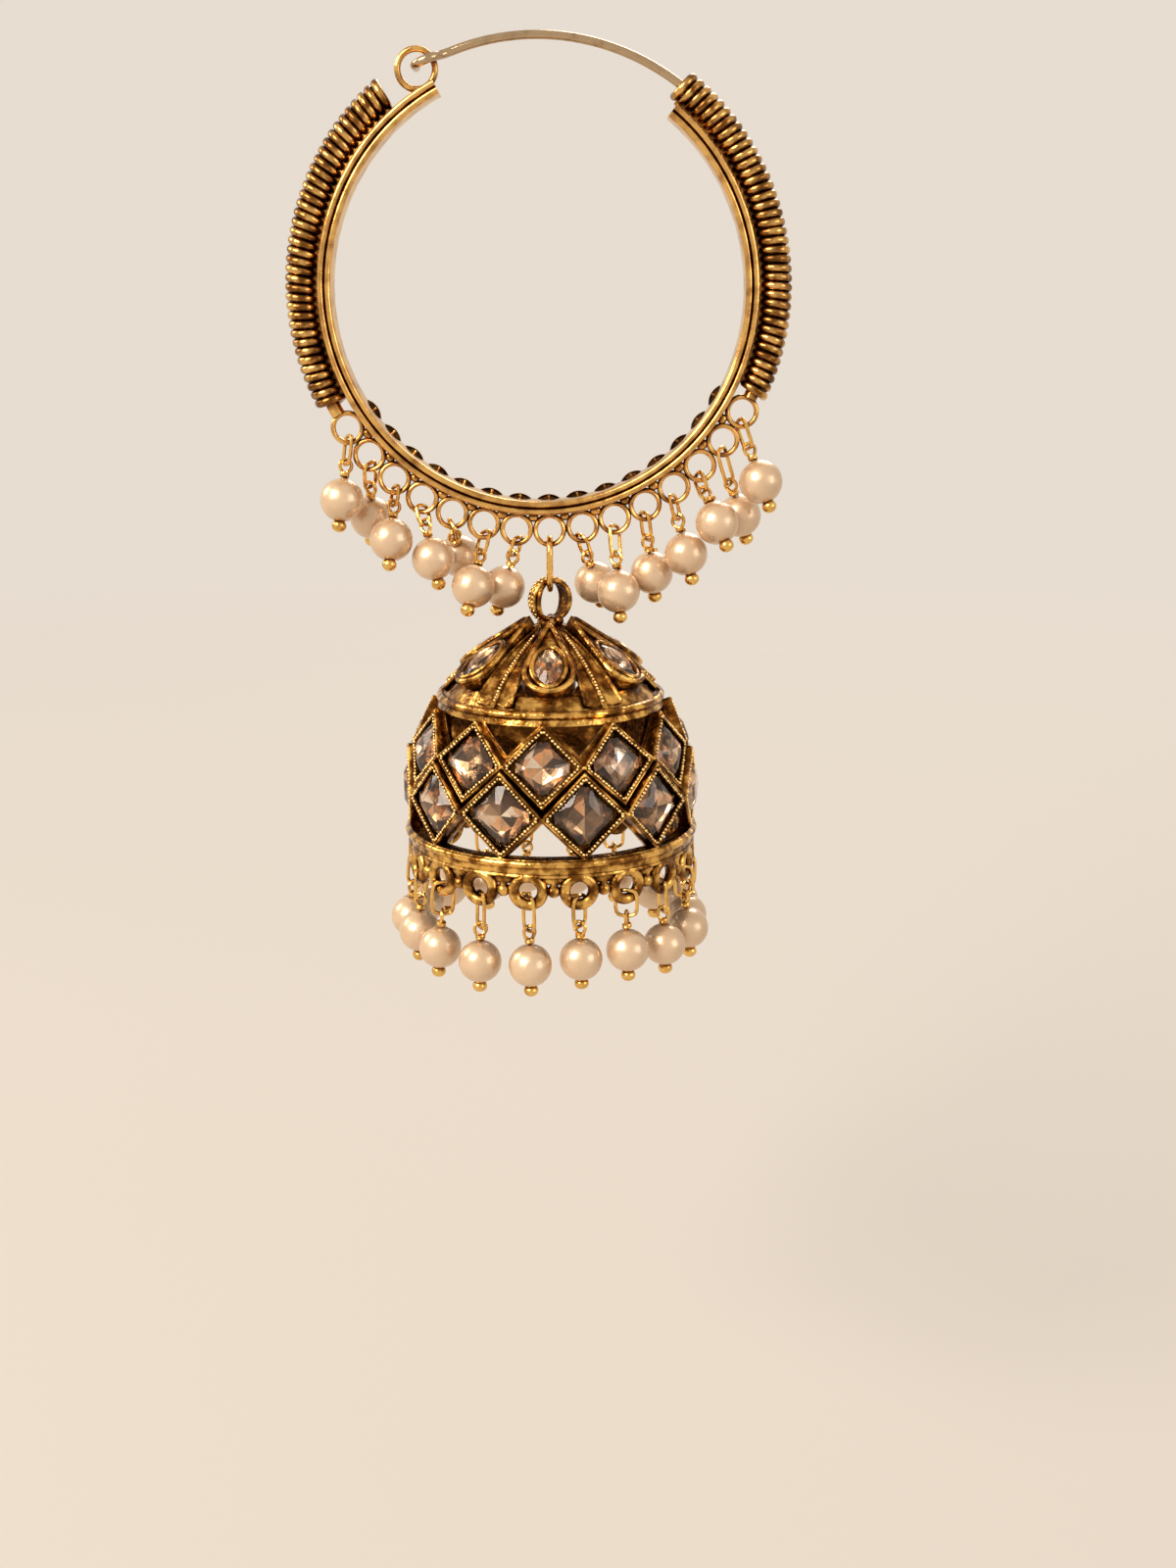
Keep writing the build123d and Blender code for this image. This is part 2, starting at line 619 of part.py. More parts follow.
for family, hangings, width, hook in (
    ("hoop", hoop_hangings, HOOP_LINK_WIDTH, RING_WIDE),
    ("bell", bell_hangings, BELL_LINK_WIDTH, EYELET_WIRE / 2),
):
    with BuildPart() as links:
        for drop, frame in hangings:
            with Locations(Location(frame)):
                add(link_part(drop.link, width, LINK_WIRE, hook))
    finish(links.part, f"{family}_links")
    with BuildPart() as pins:
        for drop, frame in hangings:
            with Locations(Location(frame)):
                add(pin_part(drop.link, hook))
    finish(pins.part, f"{family}_pins")
    for number, (drop, frame) in enumerate(hangings, start=1):
        with BuildPart() as pearl:
            with Locations(Location(frame)):
                add(pearl_part(drop.link, hook))
        finish(pearl.part, f"{family}_pearl_{number:02d}")
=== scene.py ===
import random
from math import asin, cos, degrees, pi, radians, sin, sqrt, tan

import bmesh
import bpy
from mathutils import Matrix, Vector, noise


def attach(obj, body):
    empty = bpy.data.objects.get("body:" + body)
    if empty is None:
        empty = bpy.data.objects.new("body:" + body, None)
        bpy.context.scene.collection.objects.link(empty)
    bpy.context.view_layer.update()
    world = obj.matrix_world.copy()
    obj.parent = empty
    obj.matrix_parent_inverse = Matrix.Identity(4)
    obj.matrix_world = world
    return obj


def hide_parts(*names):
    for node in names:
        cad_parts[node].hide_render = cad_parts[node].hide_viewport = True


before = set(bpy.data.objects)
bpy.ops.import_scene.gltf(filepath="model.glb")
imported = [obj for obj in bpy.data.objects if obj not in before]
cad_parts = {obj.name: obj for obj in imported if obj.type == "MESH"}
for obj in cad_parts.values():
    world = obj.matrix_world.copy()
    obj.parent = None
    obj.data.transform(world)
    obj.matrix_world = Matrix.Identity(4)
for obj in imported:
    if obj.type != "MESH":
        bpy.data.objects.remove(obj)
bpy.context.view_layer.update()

MM = 0.001
chance = random.Random(41)

# ---------------------------------------------------------------- sizes, in millimetres and degrees
GAP = 0.1
HOOP_RADIUS = 26.5
HOOP_LEAN = 2.3
BAND_INNER, BAND_OUTER = 23.0, 24.6
BAND_FRONT, BAND_BACK, BAND_RIB = 1.6, 1.7, 0.4
BAND_ENDS, BAND_GROOVE = (-155.0, 139.7), 0.35
SCALLOP_THICK, SCALLOP_RADIUS, SCALLOP_CENTRE = 0.5, 2.1, 24.6
SCALLOP_EDGE, SCALLOP_DISH = 0.3, 0.25
VEIN_LINE, VEIN_RADIUS = [(-1.95, 0, 0.42), (-1.3, 0.1, 0.5), (-0.2, 0, 0.35)], 0.17
COIL_WIRE, COIL_RADIUS = 0.96, 1.34
COIL_LEFT, COIL_RIGHT = (-143.2, -65.0), (63.6, 141.5)
ROD_LEFT, ROD_RIGHT, ROD_RADIUS = (-143.2, -61.8), (61.8, 136.0), 0.8
SEAM_SECTION, SEAM_SHORT = [(24.5, -0.7), (25.5, -0.4), (25.5, 0.4), (24.5, 0.7)], 1.0
RING_COUNT, RING_PITCH, RING_ROW = 15, 8.3, 26.45
RING_RADIUS, RING_THICK, RING_WIDE, RING_TIP = 1.65, 0.3, 0.45, 4.0
SOLDER_BEAD, SOLDER_ROW = 0.55, 25.0
CATCH_ANGLE, CATCH_RADIUS, CATCH_WIRE = -152.7, 2.05, 0.7

PEARL_RADIUS, PIN_WIRE, PIN_EYE = 2.5, 0.5, 0.75
PIN_NECK, PIN_BALL, LINK_WIRE = 0.65, 0.9, 0.45
HOOP_LINK_WIDTH, BELL_LINK_WIDTH = 2.0, 2.55
HANGER_WIRE, HANGER_LENGTH, HANGER_CLEAR = 0.7, 5.95, 0.35

BAIL_RADIUS, BAIL_WIRE, BAIL_HEIGHT, BAIL_TURN = 2.3, 0.75, 2.9, 32.0
CAP_RADIUS, CAP_DEPTH, CAP_SHOULDER = 13.0, 8.2, (7.6, -3.4)
PETAL_COUNT, PETAL_RADIUS, PETAL_TIP, PETAL_SEAT = 6, 3.05, 0.35, 7.9
PETAL_SLOPE, PETAL_HEIGHT, PETAL_ROUND, PETAL_POINT = 35.0, -3.6, -1.6, 6.3
PETAL_LIP, RIB_HEIGHT = 0.7, 0.45
STONES_ROUND, STONE_TURN = 11, -2.3
FRAME_WALL, FRAME_LIP, FRAME_OVERLAP = 0.6, 0.9, 0.15
UPPER_ROW, UPPER_FACE, UPPER_SLOPE = -13.5, 15.65, 16.6
LOWER_ROW, LOWER_FACE = -19.0, 16.9
RIM_TOP, RIM_BOTTOM, RIM_RADIUS = -23.9, -25.95, 17.1
EYELET_COUNT, EYELET_TURN, EYELET_ROW = 18, -8.0, -27.6
EYELET_SEAT, EYELET_RADIUS, EYELET_WIRE = 16.6, 1.65, 1.3
STONE_STEP, PETAL_STEP, EYELET_STEP = 360 / STONES_ROUND, 360 / PETAL_COUNT, 360 / EYELET_COUNT

GIRDLE, STONE_CORNER = 0.5, 0.9
SQUARE_LEVELS = ((1.05, 0.74), (1.5, 0.46))     # height and size of the shoulder and of the table
OVAL_LEVELS = ((0.80, 0.76), (1.12, 0.48))
PETAL_STONE = -0.75                             # the middle of a petal's stone, below its seat
CAP_STONE, CAP_STONE_BASE = (1.65, 2.9, 12), 0.3
BEZEL, BEZEL_RADIUS = (1.98, 3.22, 16, 0.74), 0.36
FOIL_SIZE, FOIL_FOOT, FOIL_THICK = 0.97, 0.04, 0.02
SQUARE_FOIL, CAP_FOIL = 0.42, 0.4               # how high each kind of foil stands
FOIL_FOLD_RISE, FOIL_FOLD_SIZE = 0.35, 0.56     # the fold round a foil, as shares of its height and width

# seat, link length, lean sideways, lean forwards, turn of the link
HOOP_DROPS = [
    (1, 3.25, -7, 13, 20), (2, 2.95, -3, -23, -25), (3, 2.25, -4, 22, 20),
    (4, 2.25, 13, 15, -25), (5, 2.25, 6, -46, 15), (6, 2.85, -13, 29, 25),
    (7, 2.25, -17, -11, -20), (9, 2.95, 16, -29, 25), (10, 3.55, 4, 14, -25),
    (11, 3.25, 8, -12, 20), (12, 2.85, 14, 11, -15), (13, 2.25, 23, 26, 25),
    (14, 4.35, 18, -14, -25), (15, 3.35, 20, 13, 20),
]
BELL_DROPS = [
    (1, 4.0, 2, 4, 15), (2, 3.6, 2, -2, -20), (3, 3.0, -1, 5, 25),
    (4, 3.8, 2, 2, -10), (5, 3.4, -1, 6, 25), (6, 3.8, 2, 0, -25),
    (7, 3.6, 0, 4, 10), (8, 4.0, -3, 2, 20), (9, 3.4, 2, 5, -25),
    (10, 3.8, -1, 3, 15), (11, 3.6, 1, 6, -15), (12, 4.0, -2, 1, 25),
    (13, 3.4, 1, 4, -20), (14, 3.8, 2, 2, 10), (15, 3.6, -1, 5, -25),
    (16, 3.4, 2, 3, 20), (17, 3.8, -2, 4, -15), (18, 4.2, 0, 3, 25),
]
# seat and the way its pin's cut tail sticks out, where that is long enough to see
BELL_TAILS = {15: (-1.7, 0.6, -0.9), 5: (-0.9, -0.5, 0.5)}


# ---------------------------------------------------------------- places on the earring
def on_hoop(angle, radius, forward=0.0):
    """A point of the hoop: degrees round from its foot, positive to the right."""
    turn = radians(angle + HOOP_LEAN)
    return Vector((radius * sin(turn), -forward, -HOOP_RADIUS - radius * cos(turn)))


def ring_angle(number):
    """Where ring 1 to 15 stands on the hoop."""
    return (number - (RING_COUNT + 1) / 2) * RING_PITCH


def hoop_place(angle, radius, forward=0.0):
    """A frame on the hoop: x outwards, y along the hoop, z forwards."""
    turn = radians(angle + HOOP_LEAN)
    out = Vector((sin(turn), 0, -cos(turn)))
    front = Vector((0, -1, 0))
    return axes_at(out, front.cross(out), front, on_hoop(angle, radius, forward))


def axes_at(x, y, z, origin):
    """The matrix that carries the axes to x, y and z at that origin."""
    place = Matrix((x, y, z)).transposed().to_4x4()
    place.translation = origin
    return place


middle = on_hoop(ring_angle((RING_COUNT + 1) // 2), RING_ROW)
BELL_X = middle.x
RING_FOOT = middle.z - RING_RADIUS
HANGER_FOOT = RING_FOOT + RING_THICK + GAP + HANGER_WIRE / 2 - HANGER_LENGTH
BAIL_TOP = HANGER_FOOT + HANGER_WIRE / 2 + HANGER_CLEAR + BAIL_WIRE / 2
APEX = BAIL_TOP - BAIL_RADIUS - BAIL_HEIGHT


def on_bell(azimuth, radius, height):
    """A point of the bell: azimuth 0 faces the front, positive to the right."""
    turn = radians(azimuth)
    return Vector((BELL_X + radius * sin(turn), -radius * cos(turn), APEX + height))


def bell_place(azimuth, radius, height, slope=0.0):
    """A frame that faces outwards from the bell: x round it, y up, tipped by slope."""
    turn, tip = radians(azimuth), radians(slope)
    out = Vector((sin(turn) * cos(tip), -cos(turn) * cos(tip), sin(tip)))
    along = Vector((cos(turn), sin(turn), 0))
    return axes_at(along, out.cross(along), out, on_bell(azimuth, radius, height))


def hanging(hook, across, sideways, forward, turn):
    """The frame of a drop: origin on the wire it hangs from, z up along the drop."""
    up = Vector((0, 0, 1))
    level = axes_at(across, up.cross(across), up, hook)
    lean = Matrix.Rotation(radians(-sideways), 4, "X") @ Matrix.Rotation(radians(forward), 4, "Y")
    return level @ lean @ Matrix.Rotation(radians(turn), 4, "Z")


def hoop_drop_place(seat, sideways, forward, turn):
    """The frame of the drop that hangs from one of the hoop's rings."""
    foot = on_hoop(ring_angle(seat), RING_ROW) - Vector((0, 0, RING_RADIUS))
    return hanging(foot, Vector((0, 1, 0)), sideways, forward, turn)


def bell_drop_place(seat, sideways, forward, turn):
    """The frame of the drop that hangs from one of the bell's eyelets."""
    azimuth = EYELET_TURN + EYELET_STEP * (seat - 1)
    foot = on_bell(azimuth, EYELET_SEAT, EYELET_ROW - EYELET_RADIUS)
    inwards = on_bell(azimuth, 0, 0) - on_bell(azimuth, 1, 0)
    return hanging(foot, inwards, sideways, forward, turn)


def pearl_centre(length, hook):
    """The height of the pearl's centre, below zero, from the wire that the drop hooks over."""
    link_foot = hook + GAP + LINK_WIRE / 2 - length
    eye_foot = link_foot + LINK_WIRE / 2 + GAP + PIN_WIRE / 2 - 2 * PIN_EYE
    return eye_foot - PIN_NECK - PEARL_RADIUS


# ---------------------------------------------------------------- shapes
def add_shape(piece, shape, place=Matrix.Identity(4)):
    """Adds a copy of a small bmesh to a piece, moved to its place."""
    mesh = bpy.data.meshes.new("part")
    shape.to_mesh(mesh)
    mesh.transform(place)
    piece.from_mesh(mesh)
    bpy.data.meshes.remove(mesh)


def wire(points, radius, closed=False, sides=2, order=4, smooth=6):
    """A round wire along a smooth line that follows its control points, as a bmesh."""
    line = bpy.data.curves.new("wire", "CURVE")
    line.dimensions = "3D"
    line.bevel_depth = radius
    line.bevel_resolution = sides
    line.use_fill_caps = not closed
    line.resolution_u = smooth
    spline = line.splines.new("NURBS")
    spline.points.add(len(points) - 1)
    for control, point in zip(spline.points, points):
        control.co = (*point, 1.0)
    spline.order_u = order
    spline.use_cyclic_u = closed
    spline.use_endpoint_u = not closed
    holder = bpy.data.objects.new("wire", line)
    mesh = bpy.data.meshes.new_from_object(holder)
    shape = bmesh.new()
    shape.from_mesh(mesh)
    bmesh.ops.remove_doubles(shape, verts=shape.verts, dist=1e-5)
    bpy.data.objects.remove(holder)
    bpy.data.curves.remove(line)
    bpy.data.meshes.remove(mesh)
    return shape


def turned(profile, centre, axis, angle, steps):
    """A closed profile spun about an axis, with flat ends unless it goes right round."""
    shape = bmesh.new()
    corners = [shape.verts.new(point) for point in profile]
    face = shape.faces.new(corners)
    whole = abs(angle - 2 * pi) < 1e-6
    if whole:
        rim = face.edges[:]
        bmesh.ops.delete(shape, geom=[face], context="FACES_ONLY")
        bmesh.ops.spin(
            shape, geom=corners + rim, cent=centre, axis=axis, angle=angle, steps=steps,
            use_merge=True, use_duplicate=False,
        )
        bmesh.ops.remove_doubles(shape, verts=shape.verts, dist=1e-4)
    else:
        bmesh.ops.spin(
            shape, geom=corners + face.edges[:] + [face], cent=centre, axis=axis, angle=angle,
            steps=steps, use_duplicate=False,
        )
        bmesh.ops.contextual_create(shape, geom=[e for e in shape.edges if e.is_boundary])
    return shape


def raise_faces(shape, faces, rise):
    """Extrudes faces, lifts them along z and gives the lifted faces."""
    made = bmesh.ops.extrude_face_region(shape, geom=faces)["geom"]
    lifted = [part for part in made if isinstance(part, bmesh.types.BMVert)]
    bmesh.ops.translate(shape, vec=(0, 0, rise), verts=lifted)
    return [part for part in made if isinstance(part, bmesh.types.BMFace)]


def oval_ring(radius, thick, wide, steps=32, sides=12):
    """A ring in the XY plane with an oval section: thick across it, wide along its axis."""
    section = [
        (radius + thick * cos(2 * pi * n / sides), 0, wide * sin(2 * pi * n / sides))
        for n in range(sides)
    ]
    return turned(section, (0, 0, 0), (0, 0, 1), 2 * pi, steps)


def ball(radius, across=12, up=8, squash=1.0):
    """A ball with faces across and up, squashed along z."""
    shape = bmesh.new()
    bmesh.ops.create_uvsphere(shape, u_segments=across, v_segments=up, radius=radius)
    bmesh.ops.scale(shape, vec=(1, 1, squash), verts=shape.verts)
    return shape


def finish_piece(piece, name, body, material, replaces=(), crease=38.0, reflection_range=None):
    """Makes the object: metres, outward faces, and edges sharper than the crease kept hard.

    The last argument is the range that each face draws a random value from, which the foil's colour turns
    into painted reflections.
    """
    bmesh.ops.scale(piece, vec=(MM, MM, MM), verts=piece.verts)
    bmesh.ops.recalc_face_normals(piece, faces=piece.faces)
    for face in piece.faces:
        face.smooth = True
    for edge in piece.edges:
        edge.smooth = edge.is_manifold and edge.calc_face_angle(0.0) < radians(crease)
    # A random value on each face, which the foil's colour turns into painted reflections.
    if reflection_range:
        tone = piece.faces.layers.float.new("tone")
        for face in piece.faces:
            face[tone] = chance.uniform(*reflection_range)
    mesh = bpy.data.meshes.new(name)
    piece.to_mesh(mesh)
    piece.free()
    thing = bpy.data.objects.new(name, mesh)
    bpy.context.scene.collection.objects.link(thing)
    mesh.materials.append(material)
    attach(thing, body)
    if replaces:
        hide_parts(*replaces)
    return thing


# ---------------------------------------------------------------- finishes
class Socket:
    """A shader value that adds, multiplies and so on like a number."""

    def __init__(self, finish, link):
        self.finish, self.link = finish, link

    def maths(self, operation, first, second=0.0):
        return self.finish.node("ShaderNodeMath", {"operation": operation}, {0: first, 1: second})

    def __add__(self, other):
        return self.maths("ADD", self, other)

    def __radd__(self, other):
        return self.maths("ADD", other, self)

    def __sub__(self, other):
        return self.maths("SUBTRACT", self, other)

    def __rsub__(self, other):
        return self.maths("SUBTRACT", other, self)

    def __mul__(self, other):
        return self.maths("MULTIPLY", self, other)

    def __rmul__(self, other):
        return self.maths("MULTIPLY", other, self)

    def held(self):
        """The value kept between 0 and 1."""
        return self.finish.node(
            "ShaderNodeMath", {"operation": "ADD", "use_clamp": True}, {0: self, 1: 0.0}
        )


class Finish:
    """A material and the one way that nodes are added to it."""

    def __init__(self, name):
        self.material = bpy.data.materials.new(name)
        self.material.use_nodes = True
        self.tree = self.material.node_tree
        self.shader = self.tree.nodes["Principled BSDF"]
        self.place = self.node("ShaderNodeTexCoord", output="Object")

    def node(self, kind, settings=None, inputs=None, output=0):
        """Adds a node with its settings, then its inputs, and gives one of its outputs."""
        made = self.tree.nodes.new(kind)
        for key, value in (settings or {}).items():
            if key == "stops":
                ramp = made.color_ramp
                while len(ramp.elements) < len(value):
                    ramp.elements.new(1.0)
                for stop, (spot, colour) in zip(ramp.elements, value):
                    stop.position, stop.color = spot, colour
            else:
                setattr(made, key, value)
        for key, value in (inputs or {}).items():
            self.feed(made, key, value)
        return Socket(self, made.outputs[output])

    def feed(self, made, key, value):
        """Links a value to a node's input, or sets it there."""
        if isinstance(value, Socket):
            self.tree.links.new(value.link, made.inputs[key])
        else:
            made.inputs[key].default_value = value

    def set(self, **values):
        """Sets the shader's own sockets, named with _ for a space."""
        for key, value in values.items():
            self.feed(self.shader, key.replace("_", " "), value)

    def speckle(self, size, detail=2.0, rough=0.5):
        """Soft noise whose blotches are about size millimetres across."""
        return self.node(
            "ShaderNodeTexNoise", {},
            {"Vector": self.place, "Scale": 1 / (size * MM), "Detail": detail, "Roughness": rough},
        )

    def cells(self, size):
        """Distance from the middle of cells about size millimetres across."""
        return self.node(
            "ShaderNodeTexVoronoi", {}, {"Vector": self.place, "Scale": 1 / (size * MM)}
        )

    def hollow(self, reach):
        """1 on open surfaces, falling towards 0 in corners about reach millimetres wide."""
        return self.node(
            "ShaderNodeAmbientOcclusion", {"samples": 8}, {"Distance": reach * MM}, output=1
        )

    def mix(self, factor, first, second):
        """One colour turning into another."""
        return self.node(
            "ShaderNodeMix", {"data_type": "RGBA"}, {0: factor, 6: first, 7: second}, output=2
        )

    def ramp(self, factor, *stops):
        """Colours at their stops from 0 to 1."""
        return self.node("ShaderNodeValToRGB", {"stops": stops}, {0: factor})

    def bump(self, height, depth, normal=None):
        """Relief of a depth in millimetres, on top of a normal if one is given."""
        inputs = {"Height": height, "Distance": depth * MM, "Strength": 1.0}
        if normal is not None:
            inputs["Normal"] = normal
        return self.node("ShaderNodeBump", {}, inputs)


def rgb(red, green, blue):
    """An opaque colour."""
    return (red, green, blue, 1.0)


def gold(name, lit_gold, half_lit_gold, shaded_gold, rough, crevice, cavern=0.0, lit_share=0.85, reflection_patchiness=1.6,
         grain=0.0, edge=0.0):
    """Plated gold with painted shade in its crevices and inside, and blotches of painted reflection.

    Its three colours are the metal lit, half lit and in painted shade. crevice and cavern are the
    widths of the small and large hollows that get painted shade; the next two arguments are how
    much of the open metal keeps its lit colour and how strongly painted reflections mottle it.
    grain adds pits, and edge is the radius that hard edges look rounded to.
    """
    finish = Finish(name)
    # painted shade: occlusion darkens the crevices and, where a cavern width is given, the whole inside
    light = (finish.hollow(crevice) * 1.8 - 0.8).held()
    if cavern:
        light = light * (finish.hollow(cavern) * 2.2 - 0.75).held()
    # painted reflections: blotches of noise lighten and darken the open metal
    painted_reflection = finish.speckle(1.7, 2.0, 0.55) - 0.5
    light = (light * lit_share + painted_reflection * reflection_patchiness + 0.08).held()
    finish.set(
        Metallic=1.0,
        Base_Color=finish.ramp(light, (0.0, shaded_gold), (0.45, half_lit_gold), (0.95, lit_gold)),
        Roughness=(rough + (1 - light) * 0.14 + (finish.speckle(0.35) - 0.5) * 0.12).held(),
    )
    rounded = None
    if edge:
        rounded = finish.node("ShaderNodeBevel", {"samples": 4}, {"Radius": edge * MM})
    relief = finish.speckle(0.9, 3.0) * (0.03 + grain * 0.2)
    if grain:
        pits = finish.speckle(0.7, 4.0, 0.65) + finish.cells(0.45) * 0.5
        relief = relief + pits * (0.04 + (1 - light) * 0.8) * grain
    finish.set(Normal=finish.bump(relief, 1.0, rounded))
    return finish.material


# Each gold below is listed lit, half lit and in painted shade; gold() paints shade into its crevices, and
# into the bell's inside, and paints reflections as blotches.
HOOP_GOLD = gold(
    "hoop gold", rgb(0.80, 0.47, 0.145), rgb(0.34, 0.15, 0.04), rgb(0.07, 0.028, 0.006), 0.14, 0.9,
    lit_share=0.76, reflection_patchiness=1.5,
)
COIL_GOLD = gold(
    "coil gold", rgb(0.76, 0.45, 0.14), rgb(0.22, 0.09, 0.02), rgb(0.08, 0.034, 0.008), 0.15, 0.7,
    lit_share=0.58, reflection_patchiness=2.4,
)
WIRE_GOLD = gold(
    "wire gold", rgb(0.84, 0.52, 0.15), rgb(0.52, 0.26, 0.06), rgb(0.20, 0.08, 0.015), 0.14, 0.5,
)
EAR_GOLD = gold(
    "ear wire gold", rgb(0.50, 0.36, 0.22), rgb(0.30, 0.20, 0.11), rgb(0.14, 0.08, 0.04), 0.12, 0.5,
)
BELL_GOLD = gold(
    "bell gold", rgb(0.84, 0.49, 0.125), rgb(0.23, 0.092, 0.015), rgb(0.07, 0.026, 0.005), 0.12, 1.0,
    cavern=34.0, lit_share=0.60, reflection_patchiness=3.0, grain=0.14, edge=0.14,
)
# A lighter copy of the bell's gold: a painted highlight on the milgrain beads.
GRAIN_GLINT_GOLD = gold(
    "milgrain gold", rgb(0.98, 0.70, 0.30), rgb(0.70, 0.40, 0.12), rgb(0.25, 0.11, 0.03), 0.16, 0.5,
)


def pearl_finish():
    """Imitation pearl: a blotchy ivory body under a clear, warm lustre coat with faint wrinkles."""
    finish = Finish("pearl lustre")
    blotch = finish.speckle(2.2, 2.0)
    wrinkle = finish.speckle(0.9, 2.0, 0.5)
    finish.set(
        Base_Color=finish.mix(blotch, rgb(0.68, 0.52, 0.38), rgb(0.86, 0.73, 0.59)),
        Metallic=0.45,
        Roughness=(0.34 + (wrinkle - 0.5) * 0.30).held(),
        Coat_Weight=0.9,
        Coat_Roughness=0.06,
        Coat_Tint=rgb(0.93, 0.82, 0.68),
        Normal=finish.bump(wrinkle, 0.06),
    )
    return finish.material


def stone_finish(name, tint):
    """Clear cut glass with a little smoke in it."""
    finish = Finish(name)
    finish.set(
        Base_Color=tint,
        Roughness=(0.015 + finish.speckle(1.5) * 0.03).held(),
        IOR=1.54,
        Transmission_Weight=1.0,
    )
    return finish.material


def foil_finish():
    """The foil behind each stone, every facet of it in a painted reflection of its own, from near black
    to white.
    """
    finish = Finish("stone foil")
    tone = finish.node("ShaderNodeAttribute", {"attribute_name": "tone"}, output=2)
    cloud = finish.speckle(2.0, 2.0)
    finish.set(
        Metallic=1.0,
        # The stops paint reflections in the stones: near black, brown, tan, an orange glint, pale tan and
        # a white sparkle.
        Base_Color=finish.ramp(
            (tone * 0.85 + cloud * 0.35 - 0.1).held(),
            (0.12, rgb(0.06, 0.034, 0.02)),
            (0.40, rgb(0.25, 0.155, 0.095)),
            (0.58, rgb(0.50, 0.34, 0.215)),
            (0.68, rgb(0.85, 0.42, 0.18)),
            (0.77, rgb(0.80, 0.58, 0.40)),
            (0.90, rgb(0.95, 0.88, 0.80)),
        ),
        Roughness=(0.10 + cloud * 0.1).held(),
        Normal=finish.bump(finish.speckle(0.6, 3.0), 0.03),
    )
    return finish.material


PEARL = pearl_finish()
STONE = stone_finish("smoky glass", rgb(0.94, 0.87, 0.78))
FOIL = foil_finish()


def dress(node, material):
    """Gives a carried-over node its finish."""
    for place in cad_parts[node].material_slots:
        place.material = material


for node, material in (
    ("ear_wire", EAR_GOLD), ("bell_hanger", WIRE_GOLD), ("bell_shell", BELL_GOLD),
    ("hoop_frame", HOOP_GOLD), ("coil_left", COIL_GOLD), ("coil_right", COIL_GOLD),
    ("hoop_links", WIRE_GOLD), ("hoop_pins", WIRE_GOLD), ("bell_links", WIRE_GOLD),
    ("bell_pins", WIRE_GOLD), ("cap_stones", STONE), ("upper_stones", STONE),
    ("lower_stones", STONE),
):
    dress(node, material)
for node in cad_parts:
    if "_pearl_" in node:
        dress(node, PEARL)


# ---------------------------------------------------------------- hoop
def along_hoop(section, start, end, steps):
    """A section of (radius, forward) corners swept round the hoop from one angle to another."""
    corners = [on_hoop(start, radius, forward) for radius, forward in section]
    return turned(corners, (0, 0, -HOOP_RADIUS), (0, 1, 0), -radians(end - start), steps)


def band_section():
    """The band's section: flat sides, and two round ribs in front with a groove between them."""
    rib_steps, rib_fill = 8, 0.96
    points = [(BAND_INNER, -BAND_BACK), (BAND_OUTER, -BAND_BACK)]
    for rib in (BAND_OUTER - BAND_RIB, BAND_INNER + BAND_RIB):
        for step in range(rib_steps + 1):
            turn = pi * step / rib_steps
            across = rib + BAND_RIB * cos(turn) * rib_fill
            points.append((across, BAND_FRONT + BAND_RIB * sin(turn)))
        if rib > BAND_INNER + BAND_RIB:
            points.append((rib - BAND_RIB, BAND_FRONT - BAND_GROOVE))
    return points


def rod_section(sides=16):
    """The round section of the rods that the coils are wound on."""
    turns = [2 * pi * n / sides for n in range(sides)]
    return [(HOOP_RADIUS + ROD_RADIUS * cos(turn), ROD_RADIUS * sin(turn)) for turn in turns]


def scallop():
    """A dished leaf with a vein down it, cut off flush with the band's outer side."""
    leaf = bmesh.new()
    bmesh.ops.create_circle(leaf, cap_ends=True, segments=40, radius=SCALLOP_RADIUS)
    front = raise_faces(leaf, leaf.faces[:], SCALLOP_THICK)
    bmesh.ops.inset_region(leaf, faces=front, thickness=SCALLOP_EDGE)
    dish = list({corner for face in front for corner in face.verts})
    bmesh.ops.translate(leaf, vec=(0, 0, -SCALLOP_DISH), verts=dish)
    bmesh.ops.bisect_plane(
        leaf, geom=leaf.verts[:] + leaf.edges[:] + leaf.faces[:], dist=1e-5,
        plane_co=(0, 0, 0), plane_no=(1, 0, 0), clear_outer=True,
    )
    bmesh.ops.holes_fill(leaf, edges=[e for e in leaf.edges if e.is_boundary], sides=0)
    add_shape(leaf, wire(VEIN_LINE, VEIN_RADIUS))
    return leaf


